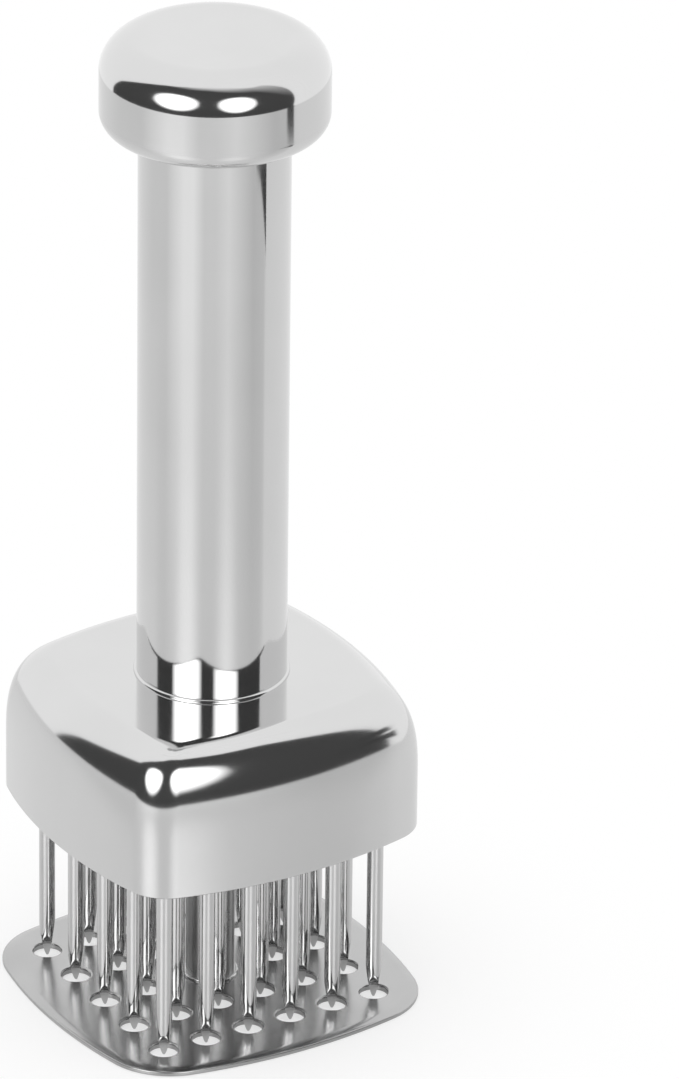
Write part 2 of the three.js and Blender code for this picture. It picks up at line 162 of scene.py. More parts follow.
class Skin:
    """Grids of points in millimetres that are welded into the mesh of one piece."""

    def __init__(self) -> None:
        """Starts with no grids."""
        self.points: list[np.ndarray] = []
        self.faces: list[np.ndarray] = []
        self.count = 0

    def lay(self, grid: np.ndarray, closed: bool = False) -> "Skin":
        """Adds a grid whose columns run round, with a face between each four neighbouring points.

        Args:
            grid: Rows by columns by 3, or a stack of such grids.
            closed: Whether the last row joins the first, as round a wall.

        Returns:
            The skin itself.
        """
        stack = grid if grid.ndim == 4 else grid[None]
        index = np.arange(stack[..., 0].size).reshape(stack.shape[:3]) + self.count
        low = index if closed else index[:, :-1]
        high = np.roll(index, -1, axis=1) if closed else index[:, 1:]
        quads = np.stack([low, np.roll(low, -1, axis=2), np.roll(high, -1, axis=2), high], axis=-1)
        self.points.append(stack.reshape(-1, 3))
        self.faces.append(quads.reshape(-1, 4))
        self.count += index.size
        return self

    def piece(self, name: str) -> bpy.types.Object:
        """Welds the grids, points the faces outwards and makes the object.

        Args:
            name: The piece's name.

        Returns:
            The new object, at the origin.
        """
        points, quads = np.concatenate(self.points) * MM, np.concatenate(self.faces)
        mesh = bpy.data.meshes.new(name)
        mesh.vertices.add(len(points))
        mesh.vertices.foreach_set("co", points.astype(np.float32).ravel())
        mesh.loops.add(quads.size)
        mesh.loops.foreach_set("vertex_index", quads.astype(np.int32).ravel())
        mesh.polygons.add(len(quads))
        mesh.polygons.foreach_set("loop_start", np.arange(0, quads.size, 4, dtype=np.int32))
        mesh.update(calc_edges=True)
        work = bmesh.new()
        work.from_mesh(mesh)
        bmesh.ops.remove_doubles(work, verts=work.verts, dist=WELD_MM * MM)
        bmesh.ops.recalc_face_normals(work, faces=work.faces)
        work.to_mesh(mesh)
        work.free()
        mesh.shade_smooth()
        mesh.set_sharp_from_angle(angle=math.radians(SHARP_DEG))
        made = bpy.data.objects.new(name, mesh)
        bpy.context.scene.collection.objects.link(made)
        return made


# Finishes

def add_node(tree: bpy.types.NodeTree, kind: str, inputs: dict[Any, Any] | None = None,
             **settings: Any) -> bpy.types.Node:
    """Adds a node, sets it up and wires it.

    Args:
        tree: The node tree.
        kind: The node's type.
        inputs: For each input, by name or number, a value or the output that feeds it.
        **settings: Properties of the node.

    Returns:
        The node.
    """
    node = tree.nodes.new(kind)
    for key, value in settings.items():
        setattr(node, key, value)
    for key, value in (inputs or {}).items():
        if isinstance(value, bpy.types.NodeSocket):
            tree.links.new(value, node.inputs[key])
        else:
            node.inputs[key].default_value = value
    return node


class Grain(Enum):
    """Which way the marks of making run over a steel surface."""

    LATHE = "rings round the Z axis"
    ROLLED = "lines along X"
    DRAWN = "lines along Z"


@dataclass(frozen=True)
class SteelFinish:
    """One way that stainless steel is finished.

    Attributes:
        name: Material name.
        light: Colour of the clean metal, sRGB hex.
        dark: Colour where it is least clean, sRGB hex.
        roughness: Least and most roughness.
        grain: Which way the marks run.
        spacing_mm: Distance between marks.
        length_mm: Length of a mark.
        depth_mm: Depth of the marks.
        cloud_mm: Size of the soft clouds of wear and handling.
        anisotropic: How much highlights spread across the marks.
    """

    name: str
    light: str
    dark: str
    roughness: tuple[float, float]
    grain: Grain
    spacing_mm: float
    length_mm: float
    depth_mm: float
    cloud_mm: float
    anisotropic: float

    def grain_noise(self, tree: bpy.types.NodeTree, place: bpy.types.NodeSocket) -> bpy.types.Node:
        """Adds the noise that draws the marks.

        Along a mark the noise runs slowly, across it fast. Rings use the direction from the axis as
        the slow part, and radius and height as the fast ones. A ring's mark has its length at the tube's
        radius.

        Args:
            tree: The node tree.
            place: The object coordinates.

        Returns:
            The noise node.
        """
        fast, slow = 1 / (self.spacing_mm * MM), 1 / (self.length_mm * MM)
        look = {"Scale": 1.0, "Detail": 3.0, "Roughness": 0.6}
        if self.grain is not Grain.LATHE:
            scale = (slow, fast, fast) if self.grain is Grain.ROLLED else (fast, fast, slow)
            spread = add_node(tree, "ShaderNodeMapping", {"Vector": place, "Scale": scale})
            return add_node(tree, "ShaderNodeTexNoise", {"Vector": spread.outputs[0], **look})
        flat = add_node(tree, "ShaderNodeVectorMath", {0: place, 1: (1, 1, 0)}, operation="MULTIPLY")
        radius = add_node(tree, "ShaderNodeVectorMath", {0: flat.outputs[0]}, operation="LENGTH")
        aim = add_node(tree, "ShaderNodeVectorMath", {0: flat.outputs[0]}, operation="NORMALIZE")
        around = add_node(tree, "ShaderNodeSeparateXYZ", {0: aim.outputs[0]})
        height = add_node(tree, "ShaderNodeSeparateXYZ", {0: place})
        arc = RING_RADIUS_MM * MM * slow
        parts = [add_node(tree, "ShaderNodeMath", {0: socket, 1: factor}, operation="MULTIPLY").outputs[0]
                 for socket, factor in ((around.outputs[0], arc), (around.outputs[1], arc),
                                        (radius.outputs["Value"], fast), (height.outputs[2], fast))]
        spread = add_node(tree, "ShaderNodeCombineXYZ", {0: parts[0], 1: parts[1], 2: parts[2]})
        return add_node(tree, "ShaderNodeTexNoise", {"Vector": spread.outputs[0], "W": parts[3], **look},
                        noise_dimensions="4D")

    def material(self) -> bpy.types.Material:
        """Builds the material, or gives it back if it is there already.

        Returns:
            The material with one metal shader.
        """
        found = bpy.data.materials.get(self.name)
        if found:
            return found
        made = bpy.data.materials.new(self.name)
        made.use_nodes = True
        tree = made.node_tree
        tree.nodes.clear()
        place = add_node(tree, "ShaderNodeTexCoord").outputs["Object"]
        marks = self.grain_noise(tree, place)
        cloud = add_node(tree, "ShaderNodeTexNoise",
                         {"Vector": place, "Scale": 1 / (self.cloud_mm * MM), "Detail": 4.0})
        colour = add_node(tree, "ShaderNodeMix", {0: cloud.outputs[0], 6: hex_colour(self.light),
                                                  7: hex_colour(self.dark)}, data_type="RGBA")
        both = add_node(tree, "ShaderNodeMix", {0: 0.5, 2: marks.outputs[0], 3: cloud.outputs[0]})
        rough = add_node(tree, "ShaderNodeMapRange", {0: both.outputs[0], 1: NOISE_SPAN[0], 2: NOISE_SPAN[1],
                                                      3: self.roughness[0], 4: self.roughness[1]})
        bump = add_node(tree, "ShaderNodeBump", {"Strength": 1.0, "Distance": self.depth_mm * MM,
                                                 "Height": marks.outputs[0]})
        shader = add_node(tree, "ShaderNodeBsdfPrincipled", {
            "Base Color": colour.outputs[2], "Metallic": 1.0, "Roughness": rough.outputs[0],
            "Normal": bump.outputs[0], "Anisotropic": self.anisotropic})
        if self.grain is Grain.LATHE:
            tangent = add_node(tree, "ShaderNodeTangent", direction_type="RADIAL", axis="Z")
            tree.links.new(tangent.outputs[0], shader.inputs["Tangent"])
            shader.inputs["Anisotropic Rotation"].default_value = 0.25
        out = add_node(tree, "ShaderNodeOutputMaterial", {"Surface": shader.outputs[0]})
        out.is_active_output = True
        return made


# 304 stainless, mirror buffed after drawing: nearly a mirror, with lights and edges a little softened.
COVER_STEEL = SteelFinish("stainless_304_mirror_cover", "#D8D8D8", "#D1D1D1", (0.08, 0.12), Grain.LATHE,
                          0.3, 14.0, 0.00004, 18.0, 0.2)
# 304 tube, buffed on a turning wheel: sharper than the cover, with faint rings.
TUBE_STEEL = SteelFinish("stainless_304_buffed_tube", "#D8D8D8", "#D0D0D0", (0.05, 0.09), Grain.LATHE,
                         0.4, 20.0, 0.00004, 18.0, 0.3)
# The knob's 304 is mirror buffed on a turning wheel too, a little more finely than the cover.
KNOB_STEEL = SteelFinish("stainless_304_mirror_knob", "#D8D8D8", "#D1D1D1", (0.08, 0.11), Grain.LATHE,
                         0.4, 20.0, 0.00004, 14.0, 0.0)
# Hardened stainless rod, drawn and bright polished: straight stripes of light along each needle.
NEEDLE_STEEL = SteelFinish("stainless_420_bright_drawn", "#D4D4D4", "#CBCBCB", (0.05, 0.1), Grain.DRAWN,
                           0.3, 60.0, 0.00004, 6.0, 0.0)
# Rolled and lightly brushed sheet: reflections go soft and streaky, and the light lies on it evenly.
SATIN = SteelFinish("stainless_304_satin_sheet", "#BEBEBE", "#B0B0B0", (0.18, 0.24), Grain.ROLLED,
                    0.3, 9.0, 0.0001, 12.0, 0.0)
# Plain turned stainless: fine tool rings and a duller sheen, as on hidden machined parts.
TURNED = SteelFinish("stainless_303_turned", "#BFBFBF", "#B0B0B0", (0.22, 0.34), Grain.LATHE,
                     0.2, 30.0, 0.001, 10.0, 0.4)
# Spring wire as drawn: greyer, with fine lines along the coil's axis.
WIRE = SteelFinish("stainless_302_spring_wire", "#A8A8A8", "#969696", (0.2, 0.3), Grain.DRAWN,
                   0.2, 8.0, 0.0005, 5.0, 0.0)
# The post is ground, not buffed: the needles round it blur into a smooth sheen. Its colours are also set
# darker than the other steel's as painted shade, for the shade among the needles under the cover.
SHADED_POST_STEEL = SteelFinish("stainless_304_ground_post_painted_shade", "#A6A6A6", "#9C9C9C", (0.26, 0.32), Grain.LATHE,
                         0.3, 20.0, 0.00004, 9.0, 0.3)
SLOT_FINISH = {"polished_steel": COVER_STEEL, "needle_steel": NEEDLE_STEEL, "satin_plate": SATIN,
               "turned_steel": TURNED, "spring_wire": WIRE}
NODE_FINISH = {"handle_tube": TUBE_STEEL, "knob_cap": KNOB_STEEL, "knob_floor": KNOB_STEEL,
               "centre_post": SHADED_POST_STEEL}


def node_slots() -> dict[str, str]:
    """Returns the material slot of each CAD node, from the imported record."""
    return {part["node"]: part["material_slot"] for part in frame["record"]["subparts"]}


def finish_of(node: str) -> SteelFinish:
    """Returns the finish of a CAD node: its own, or else that of its material slot."""
    return NODE_FINISH.get(node, SLOT_FINISH[node_slots()[node]])


def dress(made: bpy.types.Object, node: str, body: str) -> None:
    """Finishes a new piece and puts it in the place of its CAD node.

    Args:
        made: The new piece.
        node: The CAD node that it stands for.
        body: The body that it rides on.
    """
    made.data.materials.append(finish_of(node).material())
    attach(made, body)
    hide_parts(node)
    log.info("%s: %d faces", made.name, len(made.data.polygons))


def dress_cad(node: str) -> None:
    """Gives a CAD node that stays as it is the finish of its slot."""
    mesh = frame["nodes"][node].data
    mesh.materials.clear()
    mesh.materials.append(finish_of(node).material())
    log.info("%s: kept as its CAD solid", node)


# Outlines

@dataclass(frozen=True)
class BulgedSquare:
    """A square with bulged sides and round corners.

    Attributes:
        half_x: Half its width, in the middle of the sides.
        half_y: Half its depth.
        side_radius: Radius of the sides.
        corner_radius: Radius of the corners.
        passes: Rounds of the search for a corner's centre.
    """

    half_x: float
    half_y: float
    side_radius: float
    corner_radius: float
    passes: int = 60

    def loops(self, inset: np.ndarray, corner: np.ndarray, along_y: int, along_x: int,
              at_corner: int, side_radius: np.ndarray | None = None) -> np.ndarray:
        """Works out the outline at several insets, anticlockwise from the middle of the corner at +X -Y.

        A side is an arc of the side radius. A corner circle touches both sides from within, so its
        centre lies at the difference of the radii from both sides' centres, which a few passes settle.

        Args:
            inset: How far each outline is drawn in.
            corner: Corner radius of each outline.
            along_y: Points of a side that runs along Y, half of both its corners included.
            along_x: Points of a side that runs along X, likewise.
            at_corner: Points of half a corner.
            side_radius: Radius of each outline's sides before the inset, if it isn't always the same.

        Returns:
            Outlines by points by 2.
        """
        inset, corner = np.asarray(inset, float)[:, None], np.asarray(corner, float)[:, None]
        full = self.side_radius if side_radius is None else side_radius[:, None]
        hx, hy, side = self.half_x - inset, self.half_y - inset, full - inset
        reach = side - corner
        y = hy - corner
        for _ in range(self.passes):
            x = hx - side + np.sqrt(reach ** 2 - y ** 2)
            y = hy - side + np.sqrt(reach ** 2 - x ** 2)
        low = np.arctan2(y, x - hx + side)
        high = math.pi / 2 - np.arctan2(x, y - hy + side)
        mid = (low + high) / 2
        turn, zero = unit_steps(at_corner), np.zeros_like(x)
        run_y, run_x = unit_steps(along_y - 2 * at_corner), unit_steps(along_x - 2 * at_corner)
        arcs = [(x, -y, corner, -mid + (mid - low) * turn),
                (hx - side, zero, side, low * (2 * run_y - 1)),
                (x, y, corner, low + (mid - low) * turn),
                (x, y, corner, mid + (high - mid) * turn),
                (zero, hy - side, side, high + (math.pi - 2 * high) * run_x),
                (-x, y, corner, math.pi - high + (high - mid) * turn)]
        half = np.concatenate([np.stack([cx + r * np.cos(a), cy + r * np.sin(a)], axis=-1)
                               for cx, cy, r, a in arcs], axis=1)
        return np.concatenate([half, -half], axis=1)


def rectangle_loop(low: np.ndarray, high: np.ndarray, along_y: int, along_x: int) -> np.ndarray:
    """Walks round rectangles, anticlockwise from the corner at +X -Y, with even steps on each side.

    Args:
        low: Lowest corner of each, last axis x and y.
        high: Highest corner of each.
        along_y: Steps of a side that runs along Y.
        along_x: Steps of a side that runs along X.

    Returns:
        For each rectangle, points by 2.
    """
    up, left = unit_steps(along_y), unit_steps(along_x)
    (x0, y0), (x1, y1) = ((corner[..., 0, None], corner[..., 1, None]) for corner in (low, high))
    sides = [(x1 + 0 * up, y0 + (y1 - y0) * up), (x1 + (x0 - x1) * left, y1 + 0 * left),
             (x0 + 0 * up, y1 + (y0 - y1) * up), (x0 + (x1 - x0) * left, y0 + 0 * left)]
    return np.concatenate([np.stack(side, axis=-1) for side in sides], axis=-2)


def lift(flat: np.ndarray, height: np.ndarray) -> np.ndarray:
    """Gives each row of a flat grid its height.

    Args:
        flat: Grids by rows by columns by 2, or rows by columns by 2.
        height: One height for each row.

    Returns:
        The grid with its third coordinate.
    """
    level = np.broadcast_to(np.asarray(height, float)[:, None, None], (*flat.shape[:-1], 1))
    return np.concatenate([flat, level], axis=-1)


@dataclass(frozen=True)
class DrilledSheet:
    """A flat sheet with a grid of round holes and one wider hole in the middle.

    The sheet is cut into one rectangle for each hole, a double one in the middle, and a band outside
    them. All share their edge points, so that they weld into one closed skin.

    Attributes:
        outline: Its outline.
        low: Height of its underside.
        high: Height of its top.
        hole_radius: Radius of the small holes.
        hole_round: Rounding of the small holes' top edges.
        middle_radius: Radius of the middle hole.
        edge_round: Rounding of the outer edge.
        roll_width: Width of the band where the top face falls off towards the edge.
        roll_drop: How far it falls.
        roll_power: Power of the fall; 2 is a parabola, less is steeper at its start.
        rim_margin: How far the outermost rectangles reach past their holes' axes.
        recess: Radius and depth of a recess round the small holes' tops; there is none at depth 0.
        land: Width of the round flat band about each hole.
        low_round: Rounding of the holes' lower edges, or less where the top's is less.
        middle_round: Rounding of the middle hole's top edge.
        cell_steps: Points along one side of a rectangle.
        corner_steps: Points of half a corner of the outline.
        arc_steps: Segments of each rounding.
        roll_steps: Rows of the band that falls off.
    """

    outline: BulgedSquare
    low: float
    high: float
    hole_radius: float
    hole_round: float
    middle_radius: float
    edge_round: float
    roll_width: float = 0.0
    roll_drop: float = 0.0
    roll_power: float = 1.6
    rim_margin: float = 3.4
    recess: tuple[float, float] = (0.0, 0.0)
    land: float = 0.8
    low_round: float = 0.12
    middle_round: float = 0.1
    cell_steps: int = 12
    corner_steps: int = 20
    arc_steps: int = 6
    roll_steps: int = 7

    def hole_rows(self, radius: float, top_round: float,
                  recess: tuple[float, float] = (0.0, 0.0)) -> np.ndarray:
        """Works out the rows from a rectangle's edge over the hole's rounded rim and back below.

        Args:
            radius: Radius of the hole.
            top_round: Rounding of its top edge.
            recess: Radius and depth of a recess round its top.

        Returns:
            For each row: share of the circle (0 is the rectangle), circle radius and height.
        """
        wide, deep = recess
        top = [(radius, self.high, top_round)]
        if deep:
            seat = self.high - deep
            top = [(wide, self.high, top_round), (wide, seat, 0), (radius, seat, 0)]
        rim = rounded([(max(radius, wide) + self.land, self.high, 0), *top,
                       (radius, self.low, min(self.low_round, top_round)),
                       (radius + self.land, self.low, 0)], False, self.arc_steps)
        rows = np.column_stack([np.ones(len(rim)), rim])
        return np.vstack([[0, radius, self.high], rows, [0, radius, self.low]])

    def cells(self, rows: np.ndarray, places: np.ndarray, low: np.ndarray, high: np.ndarray,
              along_x: int) -> np.ndarray:
        """Blends each rectangle into the circle of its hole, row by row.

        Args:
            rows: What hole_rows gives.
            places: Axis of each hole.
            low: Lowest corner of each rectangle, from its hole's axis.
            high: Highest corner of each.
            along_x: Steps of the sides that run along X.

        Returns:
            Holes by rows by columns by 3.
        """
        square = rectangle_loop(low, high, self.cell_steps, along_x)[:, None]
        count = square.shape[2]
        angle = 2 * math.pi * (np.arange(count) - self.cell_steps / 2) / count
        circle = np.stack([np.cos(angle), np.sin(angle)], axis=-1)
        share = rows[:, 0, None, None]
        flat = (1 - share) * square + share * rows[:, 1, None, None] * circle
        return lift(flat + places[:, None, None, :], rows[:, 2])

    def block_loop(self, pitch: tuple[float, float], counts: tuple[int, int],
                   block: np.ndarray) -> np.ndarray:
        """Walks round all rectangles together, through every point of their outer edges.

        Args:
            pitch: Distance between holes along X and Y.
            counts: Rectangles along X and Y.
            block: Half the size of all of them together.

        Returns:
            Points by 2.
        """
        walks = []
        for step, count, reach in zip(pitch, counts, block):
            number = np.arange(count + 1)
            seams = step * (number - count / 2)
            seams[[0, -1]] = -reach, reach
            walks.append(np.interp(unit_steps(count * self.cell_steps) * count, number, seams))
        across, up = walks
        half = np.concatenate([np.stack([np.full(len(up), block[0]), up], axis=-1),
                               np.stack([-across, np.full(len(across), block[1])], axis=-1)])
        return np.concatenate([half, -half])

    def edge_rows(self) -> tuple[np.ndarray, np.ndarray]:
        """Works out the band outside the rectangles: over the roll and the edge, back to the underside.

        Returns:
            Inset and height of each row.
        """
        brow, start = self.high - self.roll_drop, self.roll_width + self.edge_round
        edge = rounded([(start, brow, 0), (0, brow, self.edge_round), (0, self.low, self.edge_round),
                        (start, self.low, 0)], False, self.arc_steps)
        share = unit_steps(self.roll_steps if self.roll_drop else 0)
        rolled = self.roll_width * (1 - share) + self.edge_round + SUPPORT_MM
        fall = self.high - self.roll_drop * share ** self.roll_power
        return np.concatenate([rolled, edge[1:, 0]]), np.concatenate([fall, edge[1:, 1]])

    def skin(self, places: np.ndarray, pitch: tuple[float, float], counts: tuple[int, int]) -> Skin:
        """Builds the whole sheet.

        Args:
            places: Middle of each small hole.
            pitch: Distance between holes along X and Y.
            counts: Rectangles along X and Y.

        Returns:
            The skin of the sheet.
        """
        half = np.array(pitch) / 2
        block = half * (np.array(counts) - 1) + self.rim_margin
        low, high = np.maximum(-half, -block - places), np.minimum(half, block - places)
        small = self.hole_rows(self.hole_radius, self.hole_round, self.recess)
        skin = Skin().lay(self.cells(small, places, low, high, self.cell_steps))
        wide = self.hole_rows(self.middle_radius, self.middle_round)
        middle = half[None] * (2, 1)
        skin.lay(self.cells(wide, np.zeros((1, 2)), -middle, middle, 2 * self.cell_steps))
        inner = self.block_loop(pitch, counts, block)[None]
        inset, height = self.edge_rows()
        along_x, along_y = counts[0] * self.cell_steps, counts[1] * self.cell_steps
        loops = self.outline.loops(inset, np.full(len(inset), self.outline.corner_radius), along_y,
                                   along_x, self.corner_steps)
        level = np.concatenate([[self.high], height, [self.low]])
        return skin.lay(lift(np.concatenate([inner, loops, inner]), level))


# Sub-assemblies

NEEDLE_NODES = sorted(part["node"] for part in frame["record"]["subparts"]
                      if part["node"].startswith("needle_") and part["node"] != "needle_carrier")


def needle_places() -> np.ndarray:
    """Returns the axis of each needle, in the order of the node names."""
    boxes = [cad_box(node) for node in NEEDLE_NODES]
    return np.array([((low + high) / 2)[:2] for low, high in boxes])


@dataclass
class Base:
    """The plate that stands on the meat, and the post that carries it.

    Attributes:
        side_radius: Radius of the plate's bulged sides.
        corner_radius: Radius of its corners.
        hole_diameter: Diameter of the needle holes.
        hole_round: Rounding of their top edges.
        edge_round: Rounding of the plate's outer edge.
        roll_width: Width of the band where its top falls off.
        roll_drop: How far it falls.
        pitch: Distance between holes along X and Y.
        counts: Holes along X and Y, with the two places that the post takes up.
        post_diameter: Diameter of the shank.
        spigot_diameter: Diameter of the end that sits in the plate.
        thread_diameter: Diameter of the upper end, which carries washer and nut.
        shoulder_z: Height where the shank ends.
        spigot_fit: Gap between spigot and plate.
        spigot_round: Rounding of the spigot's end.
        shank_round: Rounding of the shank's shoulder and of the upper end.
        bead_sink: How far the bead reaches into the post, and the rounding of its foot.
        bead_slope: How much narrower it is at its top.
        bead_round: Rounding of its top.
        post_columns: Points round post and bead.
    """

    side_radius: float = 93.0
    corner_radius: float = 12.3
    hole_diameter: float = 4.8
    hole_round: float = 0.4
    edge_round: float = 0.22
    roll_width: float = 1.4
    roll_drop: float = 0.28
    pitch: tuple[float, float] = (8.1, 9.9)
    counts: tuple[int, int] = (6, 5)
    post_diameter: float = 8.2
    spigot_diameter: float = 5.0
    thread_diameter: float = 6.0
    shoulder_z: float = 53.6
    spigot_fit: float = 0.02
    spigot_round: float = 0.1
    shank_round: float = 0.4
    bead_sink: float = 0.05
    bead_slope: float = 0.1
    bead_round: float = 0.35
    post_columns: int = 64

    def build_plate(self) -> None:
        """Builds the perforated plate."""
        low, high = cad_box("base_plate")
        outline = BulgedSquare(high[0], high[1], self.side_radius, self.corner_radius)
        sheet = DrilledSheet(outline, low[2], high[2], self.hole_diameter / 2, self.hole_round,
                             self.spigot_diameter / 2 + self.spigot_fit, self.edge_round,
                             self.roll_width, self.roll_drop)
        made = sheet.skin(needle_places(), self.pitch, self.counts).piece("punched_plate")
        dress(made, "base_plate", BASE)

    def build_post(self) -> None:
        """Builds the post: spigot, shank and threaded end, turned from one rod."""
        low, high = cad_box("centre_post")
        plate_top = cad_box("base_plate")[1][2]
        shank, spigot, thread = self.post_diameter / 2, self.spigot_diameter / 2, self.thread_diameter / 2
        profile = rounded([(0, low[2], 0), (spigot, low[2], self.spigot_round), (spigot, plate_top, 0),
                           (shank, plate_top, 0), (shank, self.shoulder_z, self.shank_round),
                           (thread, self.shoulder_z, 0), (thread, high[2], self.shank_round),
                           (0, high[2], 0)], False)
        dress(Skin().lay(revolve(profile, self.post_columns)).piece("post_rod"), "centre_post", BASE)

    def build_foot_bead(self) -> None:
        """Builds the weld bead at the post's foot: a quarter round laid round the rod."""
        low, high = cad_box("post_weld_bead")
        inner = self.post_diameter / 2 - self.bead_sink
        outer = high[0]
        profile = rounded([(inner, low[2], 0), (outer, low[2], self.bead_sink),
                           (outer - self.bead_slope, high[2], self.bead_round), (inner, high[2], 0)], True)
        made = Skin().lay(revolve(profile, self.post_columns), True).piece("foot_bead")
        dress(made, "post_weld_bead", BASE)

    def build(self) -> None:
        """Builds every piece of the base."""
        self.build_plate()
        self.build_post()
        self.build_foot_bead()
        for node in ("stop_washer", "stop_nut"):
            dress_cad(node)


@dataclass
class ReturnSpring:
    """The spring in the handle: one wire, close wound at both ends.

    Attributes:
        wire_diameter: Diameter of the wire.
        mean_diameter: Diameter of the coil, through the middle of the wire.
        open_turns: Turns that are spread.
        closed_turns: Turns wound close at each end.
        closed_pitch: Rise of one of these.
        turn_steps: Rings of points in one turn.
        wire_columns: Points round the wire.
        cap_turn: Angle from the last ring to the point that closes the wire, in radians.
        fixed_end_z: Height of the end that stays where it is; not used.
        stroke: How far the other end comes down; not used.
    """

    wire_diameter: float = 1.6
    mean_diameter: float = 17.4
    open_turns: float = 14.0
    closed_turns: float = 1.25
    closed_pitch: float = 2.2
    turn_steps: int = 28
    wire_columns: int = 12
    cap_turn: float = 0.01
    fixed_end_z: float = 55.7
    stroke: float = 30.5

    def build(self) -> None:
        """Builds the wire as a circle carried along a helix.

        The centre line is x = R cos a, y = R sin a, and its height rises in three straight runs over
        the angle: slowly at both closed ends and fast between them. At each end a ring shrinks to a
        point just beyond its neighbour, which closes the wire.
        """
        low, high = cad_box("return_spring")
        wire, coil = self.wire_diameter / 2, self.mean_diameter / 2
        bottom, top = low[2] + wire, high[2] - wire
        turns = self.open_turns + 2 * self.closed_turns
        closed = self.closed_turns * self.closed_pitch
        turn = np.linspace(0, turns, int(turns * self.turn_steps) + 1)
        rise = np.interp(turn, [0, self.closed_turns, turns - self.closed_turns, turns],
                         [bottom, bottom + closed, top - closed, top])
        angle = 2 * math.pi * turn
        around = 2 * math.pi * unit_steps(self.wire_columns)
        size = np.full((len(turn), 1), wire)
        size[[0, -1]] = 0
        angle[0], angle[-1] = angle[1] - self.cap_turn, angle[-2] + self.cap_turn
        reach = coil + size * np.cos(around)
        grid = np.stack([reach * np.cos(angle)[:, None], reach * np.sin(angle)[:, None],
                         rise[:, None] + size * np.sin(around)], axis=-1)
        made = Skin().lay(grid).piece("handle_spring")
        dress(made, "return_spring", BASE)
        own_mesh(made)


@dataclass
class Needles:
    """The block's needles: round rods ground to a point with four faces.

    Attributes:
        diameter: Of the rod.
        tip_z: Height of the points at rest.
        tip_half: Half the width of the blunt tip.
        face_heights: Least and most height of each face, anticlockwise from the first.
        bulge: Power of each face's curve; 1 is straight, less is bulged.
        first_face_deg: Direction that the first face looks in.
        head_diameter: Of the head, which the carrier's recess takes.
        head_height: Height of the head.
        quarter_columns: Points along a quarter of the way round.
        point_rows: Rows of the point.
        row_power: How much closer the point's rows lie near the tip; at 1 they are even.
        seed: Starts the draw of the faces' heights.
    """

    diameter: float = 2.7
    tip_z: float = 0.2
    tip_half: float = 0.1
    face_heights: tuple[tuple[float, float], ...] = ((5.2, 8.0), (3.9, 4.4), (4.6, 6.2), (3.9, 4.4))
    bulge: tuple[float, float, float, float] = (0.66, 0.95, 0.66, 0.95)
    first_face_deg: float = -30.0
    head_diameter: float = 4.2
    head_height: float = 1.3
    quarter_columns: int = 12
    point_rows: int = 30
    row_power: float = 1.3
    seed: int = 11

    def grid(self, heights: np.ndarray, top: float) -> np.ndarray:
        """Works out one needle.

        At height h above the tip a face lies at tip_half + (R - tip_half) (h / H) ** bulge from the
        axis, and the needle's radius is the least of R and face distance / cos(angle from the face).
        Columns follow the ridges, where two faces at distances a and b meet at the angle atan2(b, a).

        Args:
            heights: Height H of each of the four faces.
            top: Height of the head's top.

        Returns:
            Rows by columns by 3, round the needle's own axis.
        """
        radius = self.diameter / 2
        point = heights.max() * np.linspace(0, 1, self.point_rows) ** self.row_power
        share = np.clip(point[:, None] / heights, 0, 1)
        face = self.tip_half + (radius - self.tip_half) * share ** np.array(self.bulge)
        following = np.roll(face, -1, axis=1)
        ridge = np.arctan2(following, face)[:, :, None]
        half = self.quarter_columns // 2
        rise = unit_steps(half)
        angle = np.concatenate([ridge * rise, ridge + (math.pi / 2 - ridge) * rise], axis=-1)
        reach = np.minimum(face[:, :, None] / np.cos(np.minimum(angle, ridge)),
                           following[:, :, None] / np.sin(np.maximum(angle, ridge)))
        reach = np.minimum(reach, radius).reshape(self.point_rows, -1)
        start = np.radians(self.first_face_deg) + np.arange(4)[None, :, None] * math.pi / 2
        angle = (angle + start).reshape(self.point_rows, -1)
        shank_end, head = top - self.head_height, self.head_diameter / 2
        rod = np.array([[radius, (self.tip_z + shank_end) / 2], [radius, shank_end], [head, shank_end],
                        [head, top], [0, top]])
        reach = np.concatenate([np.zeros((1, reach.shape[1])), reach,
                                np.broadcast_to(rod[:, :1], (len(rod), reach.shape[1]))])
        angle = np.concatenate([angle[:1], angle, np.broadcast_to(angle[-1:], (len(rod), angle.shape[1]))])
        height = np.concatenate([[self.tip_z], self.tip_z + point, rod[:, 1]])
        return lift(np.stack([reach * np.cos(angle), reach * np.sin(angle)], axis=-1), height)

    def build(self) -> None:
        """Builds each needle, with its faces ground a little unevenly."""
        draw = np.random.default_rng(self.seed)
        for node, place in zip(NEEDLE_NODES, needle_places()):
            top = cad_box(node)[1][2]
            heights = np.array([draw.uniform(*limits) for limits in self.face_heights])
            grid = self.grid(heights, top) + np.array([*place, 0])
            dress(Skin().lay(grid).piece(node + "_ground"), node, PRESS_HEAD)


